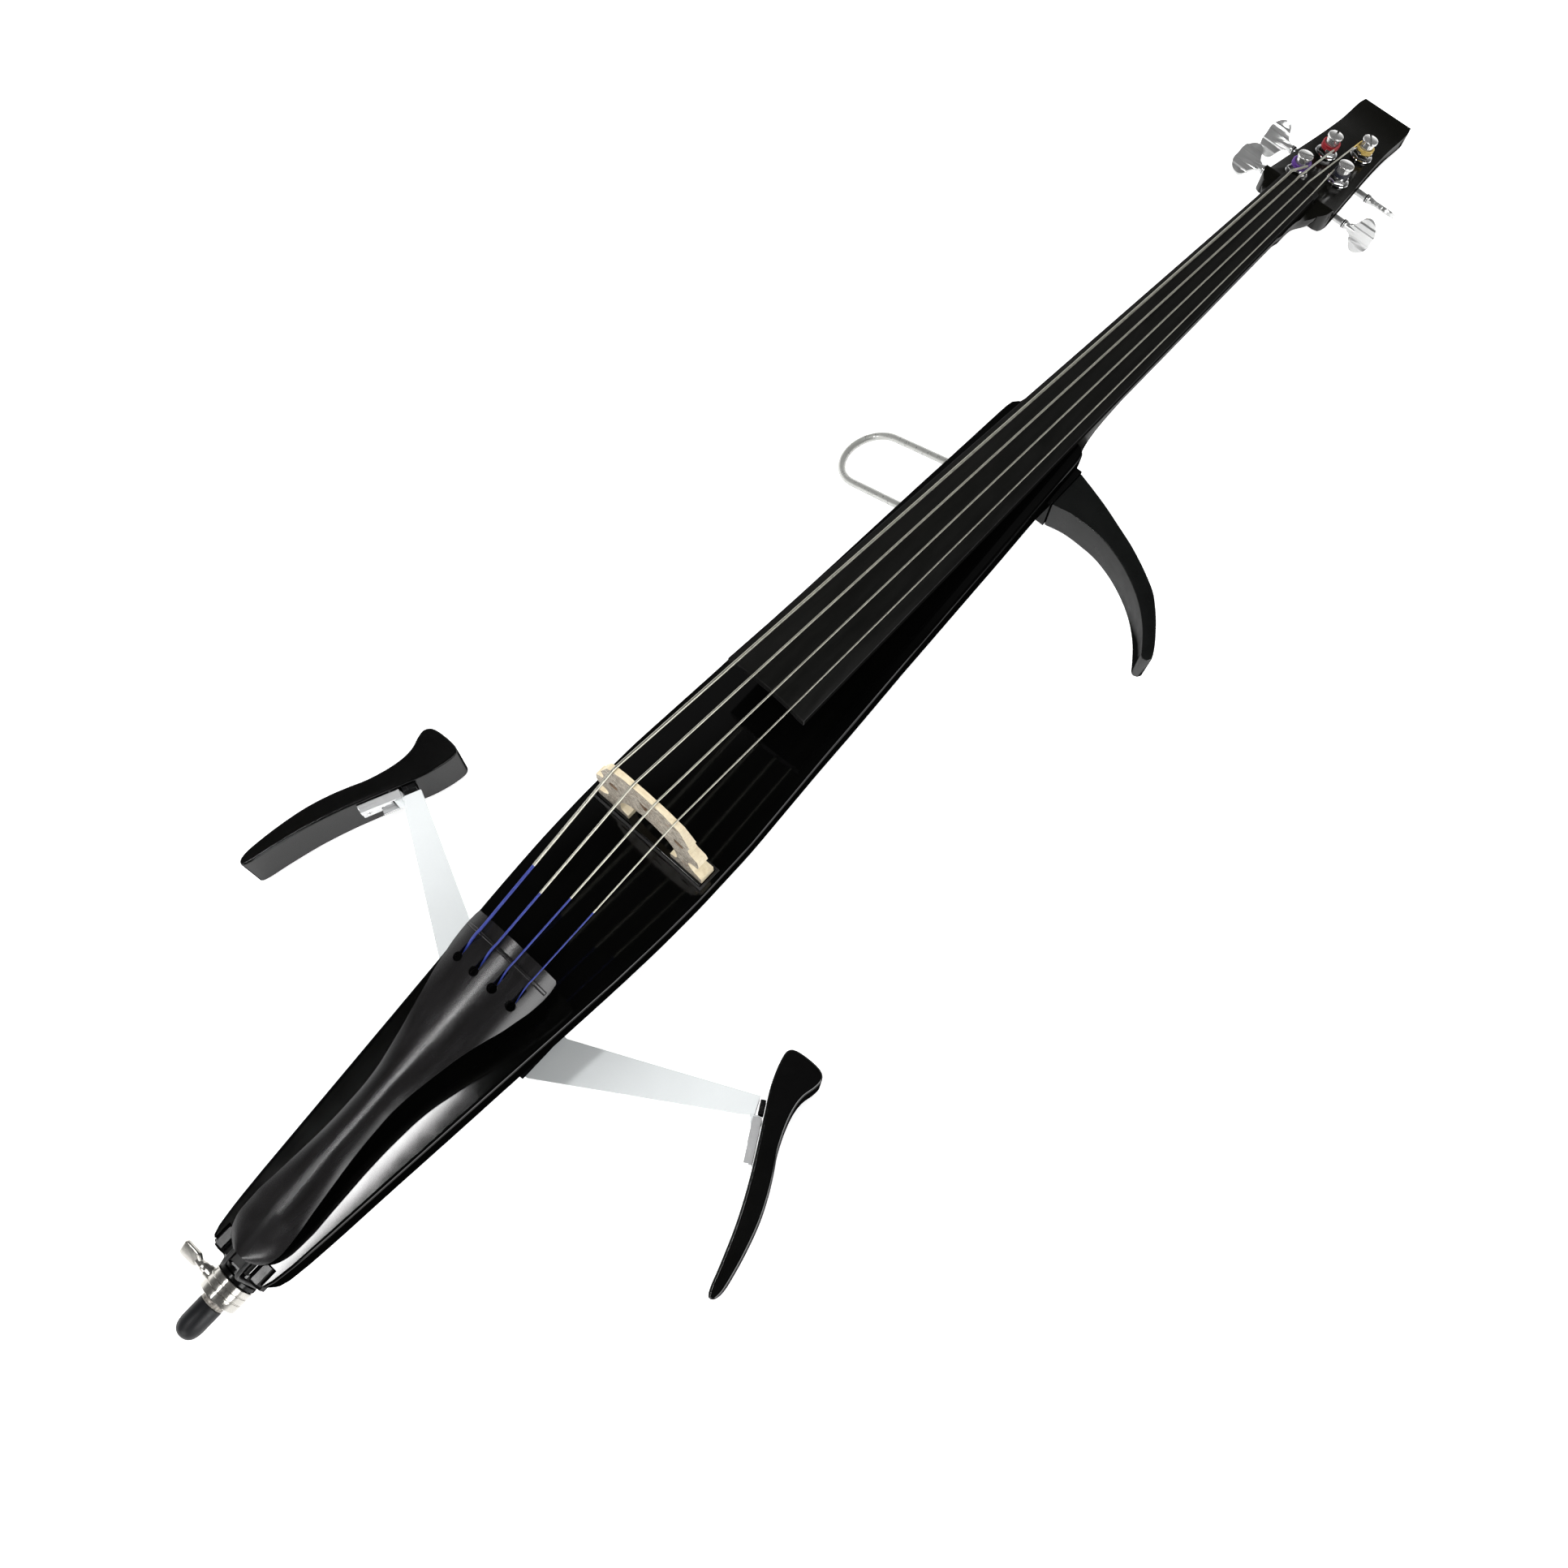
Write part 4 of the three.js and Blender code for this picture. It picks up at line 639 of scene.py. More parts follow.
# ------------------------------------------------------------------ bridge
STRINGS = [("c", -23.6, 4.6, -11.2, 1.0, 0.95), ("g", -8.0, 0.5, -3.75, 0.1, 0.75), ("d", 8.6, 0.6, 4.3, 0.1, 0.60), ("a", 23.3, 5.4, 12.1, 1.0, 0.45)]
arch = [(17.5, 6.4, 0), (19.4, 7.6, 0), (22.6, 9.4, 0), (23.2, 14.5, 0), (22.2, 20.5, 0), (19.4, 27.0, 0), (14.6, 32.2, 0), (8.0, 35.4, 0), (0, 36.6, 0)]
inner = catmull(arch + [(-x, z, 0) for x, z, _ in reversed(arch[:-1])], 4)
waist = catmull([(43.0, 8.8, 0), (35.6, 12.4, 0), (32.8, 17.5, 0), (33.4, 22.5, 0), (40.6, 26.2, 0)], 4) + catmull([(41.6, 30.5, 0), (40.8, 38.5, 0)], 2) + catmull([(34.8, 42.5, 0), (33.6, 47.5, 0), (35.0, 54.0, 0)], 4)
BT = lambda s: (s[1], 80 - s[2] - s[5] - GAP - 0.15)
top = [(28.2, 71.2, 0)] + [(x, z, 0) for x, z in (BT(STRINGS[3]), (16, 77.3), BT(STRINGS[2]), (0, 79.3), BT(STRINGS[1]), (-16, 77.6), BT(STRINGS[0]))] + [(-28.2, 71.2, 0)]
outline = [(43.0, 0)] + [(p[0], p[1]) for p in waist] + [(p[0], p[1]) for p in top] + [(-p[0], p[1]) for p in reversed(waist)] + [(-43.0, 0), (-17.5, 0)] + [(p[0], p[1]) for p in reversed(inner)] + [(17.5, 0)]
bridge = prism("bridge_maple", outline, -8, 8, IN_Y)
wedge = prism("wedge", [(-5.4, -1), (5.4, -1), (5.4, 9), (4.4, 13), (-0.3, 83), (-3.7, 83), (-5.0, 13), (-5.4, 9)], -60, 60, IN_X)
boolean(bridge, wedge, "INTERSECT")
# heart-shaped eye and the two side pockets
boolean(bridge, [rod("e1", (-1.9, -9, 59.0), (-1.9, 9, 59.0), 2.1, 24), rod("e2", (1.9, -9, 59.0), (1.9, 9, 59.0), 2.1, 24),
                 prism("e3", [(-3.7, 58.0), (0, 52.0), (3.7, 58.0), (1.9, 60.0), (-1.9, 60.0)], -9, 9, IN_Y)])
eye = [(22.6, 46.6), (26.6, 47.6), (29.2, 45.0), (29.0, 41.2), (25.6, 40.4), (22.8, 43.0)]
for f in (1, -1):
    boolean(bridge, prism("k", [(f * p[0], p[1]) for p in catmull([(x, z, 0) for x, z in eye], 4, True)], -9, 9, IN_Y))
tidy(bridge)
done(bridge, BODY, MAPLE, "bridge", soft=0.35, seg=2, angle=30)
done(from_cad("bridge_plate", "bridge_base_plate"), BODY, LACQUER, "bridge_plate", soft=0.5, seg=3)
done(from_cad("plate_gasket", "bridge_gasket"), BODY, GASKET, "plate_gasket", soft=0.18)
done(from_cad("pickup_strip", "pickup_bar"), BODY, BRASSY, "pickup_strip", soft=0.3)

# ------------------------------------------------------------------ tailpiece
TP_W = [(-108.3, 29.8), (-109.5, 31.0), (-118, 31.7), (-129, 30.8), (-140, 28.6), (-149, 26.6), (-158, 23.8), (-168, 20.9), (-181, 17.7), (-196, 14.6), (-210, 12.2), (-224, 11.2), (-240, 11.4), (-256, 12.3), (-272, 13.8), (-288, 15.4), (-302, 16.9), (-314, 17.2), (-322, 15.6), (-328, 11.6), (-331, 6.0)]
tp_w = pchip(sorted(TP_W))
tp_crown = lambda y: 55.6 + 0.1963 * (y + 112) + 1.4 * min(1, max(0, (-119 - y) / 60)) - 0.12 * max(0, -300 - y)


def tp_drop(y, x):
    w = tp_w(y)
    q = min(1, abs(x) / w)
    big = 45 - math.sqrt(45 * 45 - min(x * x, 44 * 44))
    small = 5.2 * q**2.2 * min(1, w / 12)
    k = min(1, max(0, (w - 17) / 6))
    return big * k + small * (1 - k)


def tp_ring(y):
    w = tp_w(y)
    q = [math.sin(a) for a in span(math.pi / 2, -math.pi / 2, 26)]
    t = [(w * k, tp_crown(y) - tp_drop(y, w * k)) for k in q]
    e = t[0][1]
    k = 3.4 if y < -322 else 5.0
    d = tp_drop(y, w) * 0.5
    low = [(-w, e - 1.2), (-0.97 * w, e - k * 0.6), (-0.9 * w, e - k * 0.8), (-0.7 * w, e - k * 0.8 + d * 0.6), (-0.5 * w, e - k * 0.8 + d), (-0.2 * w, e - k * 0.8 + d * 1.1), (0.2 * w, e - k * 0.8 + d * 1.1), (0.5 * w, e - k * 0.8 + d), (0.7 * w, e - k * 0.8 + d * 0.6), (0.9 * w, e - k * 0.8), (0.97 * w, e - k * 0.6), (w, e - 1.2)]
    return [(x, y, z) for x, z in t + low]


tys = [-108.3, -108.8, -109.5, -112, -115] + span(-118, -318, 66) + [-320, -322, -324, -326, -328, -329.2, -330.2, -331]
tail = loft("tailpiece_ebony", [tp_ring(y) for y in tys])
ridge = []
for x in span(-30.5, 30.5, 40):
    z = tp_crown(-117.5) - tp_drop(-117.5, x)
    ridge.append([(x, -119.2, z - 1.5), (x, -118.7, z + 0.9), (x, -118.1, z + 1.45), (x, -117.1, z + 1.45), (x, -116.5, z + 0.9), (x, -116.0, z - 1.5)])
boolean(tail, loft("ridge", ridge), "UNION")
SLOT_X = [-20.2, -6.4, 7.8, 21.2]
for x in SLOT_X:
    boolean(tail, [rod("kh", (x, -135.3, 20), (x, -135.3, 70), 3.0, 28), box("ks", x - 1.3, x + 1.3, -134, -123.2, 20, 70)])
tidy(tail)
done(tail, BODY, EBONY, "tailpiece", soft=0.35, seg=2, angle=38)
done(from_cad("saddle", "saddle_ebony"), BODY, FINGER, "saddle", soft=0.3)
cord = []
half_cord = [(5.4, -306, 2.0), (5.4, -322, 2.3), (5.4, -337, 2.9), (5.5, -340.6, 1.6), (5.9, -342.0, -2.0), (7.4, -342.3, -8), (10.6, -342.3, -15.5), (12.4, -342.3, -21)]
cord = half_cord + [(12.7 * math.cos(a), -342.3, -24 - 12.7 * math.sin(a)) for a in span(0, math.pi, 10)] + [(-x, y, z) for x, y, z in reversed(half_cord)]
done(tube("tail_cord_twist", catmull(cord, 4), 1.3, 14), BODY, CORD, "tail_cord")

# ------------------------------------------------------------------ endpin
PIN = -24.0
BACK = (0, -1, 0)
done(from_cad("endpin_plug", "endpin_plug_black"), BODY, GLOSS, "endpin_plug", soft=1.7, seg=5, angle=28)
collar = lathe("endpin_collar_nickel", [(5.4, 0), (12.6, 0), (12.9, 0.3), (12.9, 3.4), (12.65, 3.7), (12.3, 3.8), (12.3, 4.2), (12.65, 4.3), (12.9, 4.6), (12.9, 7.7), (12.65, 8.0), (12.3, 8.1), (12.3, 8.5), (12.65, 8.6), (12.9, 8.9), (12.9, 12.9), (12.7, 13.5), (12.2, 13.8), (5.4, 13.8), (5.4, 0)], 72, (0, -348.2, PIN), BACK)
boolean(collar, rod("boss", (-9, -355.4, PIN), (-15.5, -355.4, PIN), 4.0, 32), "UNION")
boolean(collar, [rod("thread", (-3, -355.4, PIN), (-20, -355.4, PIN), 2.9, 24), rod("bore", (0, -340, PIN), (0, -368, PIN), 5.4, 48)])
tidy(collar)
done(collar, BODY, NICKEL, "endpin_collar", sharp=24)
wing_o = [(-20.4, -1.4), (-24, -5.0), (-34.6, -5.4), (-36, -4.0), (-36, 4.0), (-34.6, 5.4), (-24, 5.0), (-20.4, 1.4)]
R = Matrix.Translation((0, -355.4, PIN)) @ Matrix.Rotation(0.63, 4, "X")
wing = prism("wing", wing_o, -1.5, 1.5, lambda u, v, w: tuple(R @ Vector((u, v, w))))
bevel(wing, 0.9, 4, 30)
applied(wing)
screw = lathe("endpin_screw_nickel", [(0, 0), (2.5, 0), (2.5, 10.1), (2.9, 10.1), (3.05, 10.5), (3.05, 13.3), (2.7, 13.8), (2.6, 14.7), (2.1, 18.3), (0, 18.3)], 32, (-5.7, -355.4, PIN), (-1, 0, 0))
boolean(screw, wing, "UNION")
done(screw, "clamp_screw", NICKEL, "endpin_thumbscrew", sharp=30)
IN = 62
done(lathe("endpin_rod_steel", [(0, 0), (4.4, 0), (5, 0.8), (5, IN + 362.2), (4, IN + 362.2), (4, IN + 376.6), (0, IN + 376.6)], 48, (0, IN, PIN), BACK), "endpin", STEEL, "endpin_rod")
done(lathe("endpin_ring_blasted", [(5.02, 0), (7.2, 0), (7.55, 0.4), (7.6, 0.8), (7.6, 3.2), (7.45, 3.5), (5.02, 3.5), (5.02, 0)], 64, (0, -362.4, PIN), BACK), "endpin", BLAST)
tip = [(4.3, 0), (7.5, 0), (7.8, 0.35), (7.8, 13.0), (7.72, 14.6), (7.4, 16.9), (6.8, 18.9), (5.9, 20.5), (4.7, 21.7), (3.1, 22.5), (1.5, 22.9), (0, 23.0), (0, 11), (4.3, 11), (4.3, 0)]
done(lathe("endpin_tip_rubber", tip, 64, (0, -366.1, PIN), BACK), "endpin", RUBBER, "endpin_tip", sharp=50)

# ------------------------------------------------------------------ tuning machines
for n, x, v, s, dv, reach, turn, high in TUNERS:
    G = HEADM @ Matrix.Translation((x, v, 0))
    body = "string_post_" + n
    post = lathe("post_chrome_" + n, [(0, -21.8), (7.1, -21.8), (7.1, -16.2), (4.7, -16.2), (4.7, 4.8), (5.0, 5.0), (5.0, high - 2.6), (5.9, high - 2.3), (6.0, high - 2.0), (6.0, high - 0.7), (5.8, high - 0.3), (5.2, high), (0, high)], 48, (0, 0, 0), (0, 0, 1), G)
    a = {"c": 0.5, "g": 1.75, "d": -1.0, "a": 0.35}[n]
    boolean(post, box("slot", -8, 8, -0.85, 0.85, high - 1.9, 20, G @ Matrix.Rotation(a, 4, "Z")))
    tidy(post)
    done(post, body, POSTMET, "post_" + n, sharp=28)
    H = G @ Matrix.Rotation(0.3 + x, 4, "Z")
    hexa = lathe("bushing_hex_" + n, [(0, 1.5), (7.35, 1.5), (7.25, 4.8), (0, 4.8)], 6, (0, 0, 0), (0, 0, 1), H)
    boolean(hexa, lathe("dome", [(0, 1.2), (6.6, 1.2), (7.9, 2.2), (7.9, 3.9), (6.2, 4.85), (5.9, 4.9), (0, 4.9)], 48, (0, 0, 0), (0, 0, 1), G), "INTERSECT")
    boolean(hexa, rod("hb", (0, 0, -2), (0, 0, 9), 5.05, 40, xf=G))
    tidy(hexa, 1e-5)
    done(hexa, BODY, CHROME, "bushing_" + n, soft=0.25, seg=3, angle=24)
    done(lathe("bushing_washer_" + n, [(5.05, 0.3), (8.5, 0.3), (8.8, 0.5), (8.8, 0.9), (8.55, 1.25), (7.6, 1.6), (5.05, 1.6), (5.05, 0.3)], 56, (0, 0, 0), (0, 0, 1), G), BODY, CHROME)
    done(from_cad("tuner_plate_" + n, "tuner_frame_" + n), BODY, CHROME, "tuner_plate_" + n, soft=0.4, seg=2)
    # the key: a shaft with worm ridges next to the post, seen from behind, and a flat leaf
    K = G @ Matrix.Translation((0, dv, -19.0)) @ Matrix.Rotation(math.radians(turn), 4, "X")
    L = reach - abs(x)
    kb = "tuning_key_" + n
    shaft = [(0, -9.6), (1.7, -9.6), (1.7, -6.6)]
    for i in range(9):
        shaft += [(1.75, -6.4 + i * 1.45), (2.12, -6.0 + i * 1.45), (2.12, -5.6 + i * 1.45), (1.75, -5.2 + i * 1.45)]
    shaft += [(1.7, 7.0), (1.7, 9.4), (2.5, 9.4), (2.6, 9.8), (2.6, L - 2.6), (1.9, L - 2.4), (1.9, L - 1.7), (3.1, L - 1.6), (3.3, L - 1.3), (3.3, L - 0.7), (2.7, L - 0.6), (2.7, L - 0.3), (3.3, L - 0.2), (3.3, L + 0.6), (3.1, L + 0.9), (2.9, L + 1.0), (2.6, L + 3.0), (2.2, L + 5.5), (1.8, L + 8.5), (1.3, L + 11.0), (0, L + 12.0)]
    key = lathe("key_chrome_" + n, shaft, 36, (0, 0, 0), (s, 0, 0), K)
    leaf = [(3.2, -2.6), (5.2, -3.7), (7.4, -6.6), (9.2, -10.6), (11.2, -13.6), (14.0, -14.9), (17.8, -14.2), (21.2, -11.6), (23.4, -8.2), (24.4, -5.0), (24.1, -2.2), (24.0, 0), (24.1, 2.2), (24.4, 5.0), (23.4, 8.2), (21.2, 11.6), (17.8, 14.2), (14.0, 14.9), (11.2, 13.6), (9.2, 10.6), (7.4, 6.6), (5.2, 3.7), (3.2, 2.6)]
    lf = catmull([(s * (L + p[0]), p[1], 0) for p in leaf], 3, True)
    pad = prism("leaf", [(p[0], p[1]) for p in lf], -1, 1, lambda u, w, h: tuple(Vector((u, w, h))))
    bm = bmesh.new()
    bm.from_mesh(pad.data)
    off = P(0, 0, 0)
    for cut in (-10.2, -9.2, -4.6, -3.6, 3.6, 4.6, 9.2, 10.2):
        bmesh.ops.bisect_plane(bm, geom=bm.verts[:] + bm.edges[:] + bm.faces[:], plane_co=off + Vector((0, cut / 1000, 0)), plane_no=(0, 1, 0))
    thick = pchip([(0, 1.35), (3.6, 1.3), (4.6, 0.75), (9.2, 1.9), (10.2, 0.7), (15, 1.45)])
    for vert in bm.verts:
        q = vert.co - off
        h = thick(abs(q.y) * 1000) / 1000
        local = Vector((q.x * 1000, q.y * 1000, math.copysign(h, q.z) * 1000))
        vert.co = P(*(K @ local))
    bm.to_mesh(pad.data)
    bm.free()
    bevel(pad, 0.45, 3, 26)
    applied(pad)
    boolean(key, pad, "UNION")
    tidy(key)
    done(key, kb, KEYMET, "key_" + n, sharp=26)
    for i, (p0, p1) in enumerate(((-2.45, -1.75), (-0.55, -0.25))):
        ring = lathe("key_washer_%s_%d" % (n, i), [(1.92 if i == 0 else 2.72, L + p0), (3.35, L + p0), (3.35, L + p1), (1.92 if i == 0 else 2.72, L + p1), (1.92 if i == 0 else 2.72, L + p0)], 36, (0, 0, 0), (s, 0, 0), K)
        done(ring, kb, MOULD, sharp=30)

# ------------------------------------------------------------------ strings
SILK_END = {"c": -71, "g": -80, "d": -71, "a": -68}
for i, (n, xb, db, xn, dn, r) in enumerate(STRINGS):
    sx = SLOT_X[i]
    zs = lambda y: tp_crown(y) - tp_drop(y, sx)
    rz = zs(-117.5) + 1.5 + r + GAP + 0.15
    a = Vector((sx + 0.25, -116.3, rz + 0.1))
    b = Vector((xb, -4.0, 80 - db + 0.1))
    k = (SILK_END[n] - a.y) / (b.y - a.y)
    m = a.lerp(b, k)
    lead = [(sx, -132.2, zs(-132) - 6.5), (sx, -127.5, zs(-127.5) - 2.2), (sx, -123.0, zs(-123) + r + 0.55), (sx + 0.2, -118.9, rz), tuple(a)]
    silk = [Vector(p) for p in catmull(lead, 5)] + [a.lerp(m, t) for t in span(0.1, 1, 6)]
    done(tube("string_silk_tail_" + n, silk, r * 0.96, 14), BODY, SILK_TAIL, "string_" + n)
    main = [m, b, Vector((xb, -2, 80 - db + 0.33)), Vector((xb, 0, 80 - db)), Vector((xn, 689.7, -34 - dn)), Vector((xn, 692.5, -34 - dn - 0.02)), Vector((xn, 696.4, -34 - dn - 0.12))]
    t = [q for q in TUNERS if q[0] == n][0]
    px, pv, s = t[1], t[2], t[3]
    rr = 5.0 + r + 0.35
    turns, n0, pitch = {"c": 2.5, "g": 2.75, "d": 2.75, "a": 3.5}[n], 5.1 + r, 2 * r + 0.13
    topz = n0 + pitch * turns
    start, d = (math.pi, -1) if s > 0 else (0, 1)
    steps = int(turns * 32)
    wrap = [HEADM @ Vector((px + rr * math.cos(start + d * 2 * math.pi * j / 32), pv + rr * math.sin(start + d * 2 * math.pi * j / 32), topz - (topz - n0) * j / steps)) for j in range(steps + 1)]
    e = main[-1].lerp(wrap[0], 0.86)
    full = [main[0]] + [main[1].lerp(main[0], q) for q in (0.6, 0.3)] + main[1:4] + [main[3].lerp(main[4], q) for q in (0.02, 0.25, 0.5, 0.75, 0.98)] + main[4:] + [e]
    done(tube("string_wound_" + n, full, r, 14), BODY, STRING, "string_" + n)
    done(tube("string_silk_head_" + n, [e] + wrap, r, 14), BODY, SILK[n], "string_" + n)

# ------------------------------------------------------------------ knee rests
PAD = [(177.6, -42), (176.9, -48), (174.2, -56), (173.6, -64), (175.4, -76), (180.2, -91.7), (185.4, -103), (190.6, -115.7), (195.4, -131), (198.6, -147.3), (200.8, -165), (201.3, -179), (199.6, -184.0), (196.6, -185.0), (194.6, -182.4), (190.7, -165.8), (184.9, -142.5), (177.6, -120.5), (169.8, -101), (160.6, -79.5), (153.4, -62.4), (149.4, -46), (149.4, -39.4), (152.0, -36.6), (163, -35.6), (174.6, -37.8)]
PIVOT, HINGE = (22.5, -141.0), (158.6, -85.2)
ARM_TOP, ARM_T = -66.0, 3.5


def about(c, deg):
    return Matrix.Translation((c[0], c[1], 0)) @ Matrix.Rotation(math.radians(deg), 4, "Z") @ Matrix.Translation((-c[0], -c[1], 0))


for nm, s, t1, t2 in (("treble", 1, 1.2, 5.0), ("bass", -1, 0, 0)):
    A, Hh = (s * PIVOT[0], PIVOT[1]), (s * HINGE[0], HINGE[1])
    M1 = about(A, s * t1)
    M2 = M1 @ about(Hh, s * t2)
    pts = [(s * p[0], p[1]) for p in catmull([(x, y, 0) for x, y in PAD], 4, True)]
    pad = prism("knee_pad_shell_" + nm, pts, -102, -61, lambda u, v, w: tuple(M2 @ Vector((u, v, w))))
    done(pad, "knee_rest_pad_" + nm, PADBLACK, "knee_pad_" + nm, soft=2.3, seg=6, angle=40)
    done(from_cad("knee_arm_" + nm, "knee_arm_plate_" + nm), "knee_rest_arm_" + nm, ALU, "knee_arm_" + nm, soft=0.45, seg=3)
    done(from_cad("hinge_block_" + nm, "hinge_spacer_" + nm), "knee_rest_pad_" + nm, MOULD, "hinge_block_" + nm, soft=0.4)
    done(from_cad("pad_bracket_" + nm, "pad_hinge_leaf_" + nm), "knee_rest_pad_" + nm, PLATED, "pad_bracket_" + nm, soft=0.3)
    wd, wn = Vector((s * 0.395, -0.918, 0)), Vector((s * -0.918, -0.395, 0))
    for i, along in enumerate((17.0, 26.0)):
        c = Vector((s * 160.6, -79.5, 0)) + wd * along + wn * 3.0
        c.z = -74.5
        sc = lathe("bracket_screw_%s_%d" % (nm, i), [(0, 0), (3.2, 0), (3.2, 0.3), (2.8, 0.9), (1.9, 1.35), (0, 1.5)], 28, c, wn, M2)
        up = Vector((0, 0, 1))
        cr = Matrix.Translation(c) @ Matrix((wd, up, wn)).transposed().to_4x4() @ Matrix.Rotation(0.5 + i, 4, "Z")
        boolean(sc, [box("x1", -1.9, 1.9, -0.35, 0.35, 0.8, 3, M2 @ cr), box("x2", -0.35, 0.35, -1.9, 1.9, 0.8, 3, M2 @ cr)])
        done(sc, "knee_rest_pad_" + nm, CHROME, sharp=28)
    bolt = from_cad("arm_pivot_bolt_" + nm, "pivot_bolt_" + nm)
    boolean(bolt, lathe("hexkey", [(0, -2), (3.2, -2), (3.2, 2.2), (0, 2.2)], 6, (A[0], A[1], ARM_TOP - ARM_T - 3.7), (0, 0, 1)))
    done(bolt, BODY, NICKEL, "arm_pivot_bolt_" + nm, soft=0.25, angle=28)
done(from_cad("arm_mount", "arm_mount_block"), BODY, MOULD, "arm_mount", soft=0.8, seg=3)

# ------------------------------------------------------------------ chest loop
mid, halfw, straight = (LOOP_Y[0] + LOOP_Y[1]) / 2, (LOOP_Y[1] - LOOP_Y[0]) / 2, 84
on = lambda d, y: loop_at(-14, y) + LOOP_DIR * d
lp = [on(d, LOOP_Y[0]) for d in span(0, straight, 10)]
lp += [on(straight + halfw * math.sin(a), mid - halfw * math.cos(a)) for a in span(0, math.pi, 36)[1:-1]]
lp += [on(d, LOOP_Y[1]) for d in span(straight, 0, 10)]
done(tube("chest_loop_wire", lp, 2.8, 24), "chest_rest", LOOPSTEEL, "chest_loop", sharp=50)
done(from_cad("loop_socket", "loop_socket_block"), BODY, MATTE, "loop_socket", soft=0.5)

# ------------------------------------------------------------------ hand guide
OUT = [(37.0, 373.6), (48.4, 370.5), (65, 365.4), (81, 359.5), (93.5, 354.8), (105.5, 349.2), (116.5, 343.2), (126.6, 336.6), (133.4, 329.8), (139.6, 322.6), (144.8, 315.6), (149.2, 309.0), (152.6, 303.0), (154.4, 298.6)]
INN = [(153.0, 295.9), (149.9, 294.9), (147.8, 296.0), (145.8, 299.0), (142.0, 304.6), (137.4, 310.8), (132.8, 316.0), (126.0, 322.4), (118.4, 328.2), (109.4, 333.6), (99, 338.6), (89, 342.2), (78, 344.8), (66.5, 345.6), (50.8, 345.2), (37.0, 342)]
hp = [(p[0], p[1]) for p in catmull([(x, y, 0) for x, y in OUT], 5)] + [(p[0], p[1]) for p in catmull([(x, y, 0) for x, y in INN], 5)]
horn = prism("hand_guide_horn", hp, -36, -8)
bevel(horn, 1.3, 4, 40)
applied(horn)
boolean(horn, [rod("p1", (22, 349, -20), (40, 349, -20), 2.5, 24), rod("p2", (22, 365, -20), (40, 365, -20), 2.5, 24)], "UNION")
tidy(horn)
done(horn, "hand_guide", HORN, "left_hand_horn", sharp=32)
done(from_cad("horn_mount", "horn_mount_block"), BODY, LACQUER, "horn_mount", soft=0.9, seg=4, angle=30)

# ------------------------------------------------------------------ back: controls and battery
CZ0 = -50.0
done(from_cad("control_panel", "control_plate"), BODY, MATTE, "control_panel", soft=0.4)
kn = [(0, -9.6), (7.4, -9.6), (8.0, -9.2), (8.2, -8.6)]
knob = lathe("volume_knob_cap", [(0, -9.0), (7.6, -9.0), (8.2, -8.5), (9.0, -1.0), (8.8, -0.4), (3.0, -0.4), (3.0, 9.5), (0, 9.5)], 60, (0, 245, CZ0), (0, 0, 1))
boolean(knob, box("mark", -0.6, 0.6, 248, 253.2, CZ0 - 9.6, CZ0 - 8), "UNION")
for i in range(15):
    a = 2 * math.pi * i / 15 + 0.1
    boolean(knob, rod("fl", (9.1 * math.cos(a), 245 + 9.1 * math.sin(a), CZ0 - 10), (9.9 * math.cos(a), 245 + 9.9 * math.sin(a), CZ0 - 0.9), 0.8, 10))
tidy(knob)
done(knob, "volume_control", MATTE, "volume_knob", sharp=32)
done(from_cad("power_switch", "power_switch_lever"), "switch_slider", MATTE, "power_switch", soft=0.3)
done(from_cad("output_jack", "output_jack_bush"), BODY, NICKEL, "output_jack", sharp=25)
done(from_cad("circuit_board", "preamp_board"), BODY, BOARD, "circuit_board", soft=0.2)
done(from_cad("battery_door", "battery_door_lid"), "battery_cover", MATTE, "battery_door", soft=0.4)
done(from_cad("battery", "battery_block"), BODY, BATTERY, "battery", soft=0.6)

# ------------------------------------------------------------------ stage and light
bpy.ops.mesh.primitive_plane_add(size=14, location=(0, 0, 0))
floor = bpy.context.object
floor.name = "floor"
fn = Nodes("floor_mat")
tone = fn.noise(1.2, 2, 0.5)
fn.set(Base_Color=fn.mix(fn.range(tone, 0, 1), (0.93, 0.93, 0.93), (0.95, 0.95, 0.95)), Roughness=fn.range(tone, 0.85, 0.95))
fn.b.inputs["Specular IOR Level"].default_value = 0.0
fn.b.inputs["Emission Color"].default_value = (1, 1, 1, 1)
fn.b.inputs["Emission Strength"].default_value = 0.62
floor.data.materials.append(fn.m)

world = bpy.data.worlds.new("studio")
scene.world = world
world.use_nodes = True
wt = world.node_tree
wt.nodes.clear()
wo = wt.nodes.new("ShaderNodeOutputWorld")
bg = wt.nodes.new("ShaderNodeBackground")
wt.links.new(bg.outputs[0], wo.inputs[0])
tc = wt.nodes.new("ShaderNodeTexCoord")
sp = wt.nodes.new("ShaderNodeSeparateXYZ")
wt.links.new(tc.outputs["Generated"], sp.inputs[0])


def wnode(kind, **kw):
    n = wt.nodes.new(kind)
    for k, v in kw.items():
        setattr(n, k, v)
    return n


def wmath(op, a, b):
    n = wnode("ShaderNodeMath", operation=op)
    for i, v in ((0, a), (1, b)):
        if isinstance(v, (int, float)):
            n.inputs[i].default_value = v
        else:
            wt.links.new(v, n.inputs[i])
    return n.outputs[0]


def wsmooth(v, a, b, lo, hi):
    n = wnode("ShaderNodeMapRange", interpolation_type="SMOOTHSTEP")
    wt.links.new(v, n.inputs["Value"])
    for k, x in (("From Min", a), ("From Max", b), ("To Min", lo), ("To Max", hi)):
        n.inputs[k].default_value = x
    return n.outputs[0]


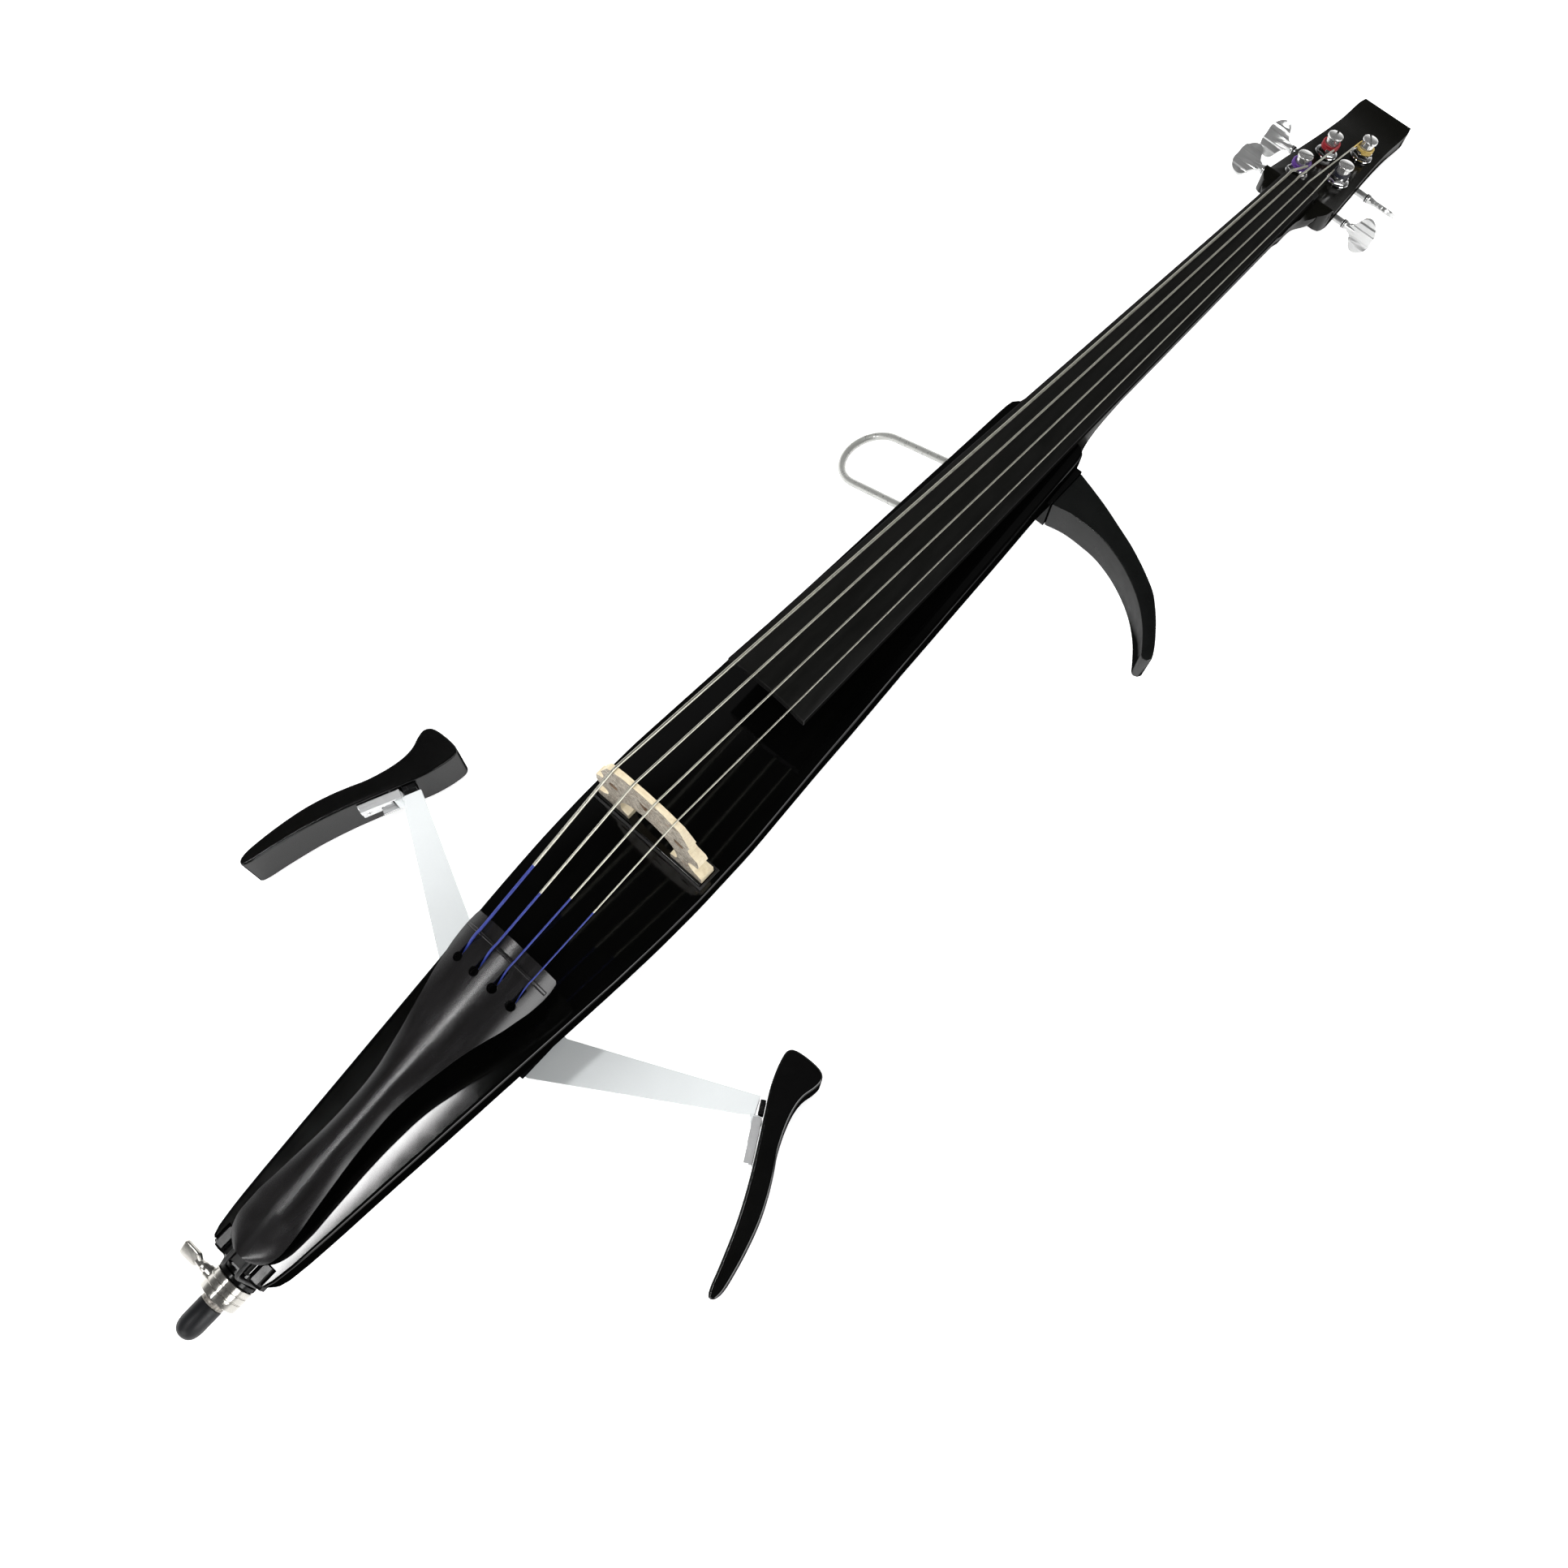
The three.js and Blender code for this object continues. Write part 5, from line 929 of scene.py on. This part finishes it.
# a dark ceiling with one grey panel over the bass side, and pale walls low down
X, Y, Z = sp.outputs
panel = wmath("MULTIPLY", wsmooth(wmath("SUBTRACT", wmath("MULTIPLY", Y, 0.34), X), 0.306, 0.346, 0.0, 0.205), wmath("MULTIPLY", wsmooth(Z, 0.80, 0.92, 0.0, 1.0), wsmooth(X, -0.375, -0.315, 0.0, 1.0)))
walls = wmath("ADD", wsmooth(Z, 0.02, 0.28, 0.62, 0.0), wsmooth(Z, 0.1, 0.60, 0.20, 0.0))
total = wmath("ADD", wmath("ADD", panel, walls), 0.018)
cc = wnode("ShaderNodeCombineColor")
for i in range(3):
    wt.links.new(total, cc.inputs[i])
wt.links.new(cc.outputs[0], bg.inputs[0])
bg.inputs[1].default_value = 1.0


def area(name, at, aim, w, h, watts, color=(1, 1, 1), shine=True):
    d = bpy.data.lights.new(name, "AREA")
    d.shape, d.size, d.size_y, d.energy, d.color = "RECTANGLE", w, h, watts, color
    o = bpy.data.objects.new(name, d)
    scene.collection.objects.link(o)
    o.location = at
    o.rotation_mode = "QUATERNION"
    o.rotation_quaternion = (Vector(aim) - Vector(at)).to_track_quat("-Z", "Y")
    o.visible_glossy = shine
    return o


area("key_left", (-1.5, -0.4, 2.3), (0, 0, 0), 1.8, 1.8, 39, shine=False)
area("back_top", (-0.3, 2.9, 1.9), (0, 0.1, 0), 2.2, 1.2, 60, shine=False)
strip = area("strip_right", (2.5, -0.1, 1.3), (0, -0.1, 0), 2.6, 1.15, 80)
strip.visible_diffuse = False
area("fill_right", (1.7, -0.1, 2.1), (0, -0.1, 0), 1.6, 1.15, 26, shine=False)
area("front_low", (0.4, -3.0, 1.3), (0, -0.2, 0), 1.6, 0.5, 30)
lamp = area("ceiling_lamp", (-0.341, -1.0, 1.6), (-0.341, -1.0, 0), 0.052, 1.04, 9.6)
lamp.rotation_quaternion = (1, 0, 0, 0)

scene.view_settings.view_transform = "Standard"
scene.view_settings.look = "None"
scene.view_settings.exposure = 0.0
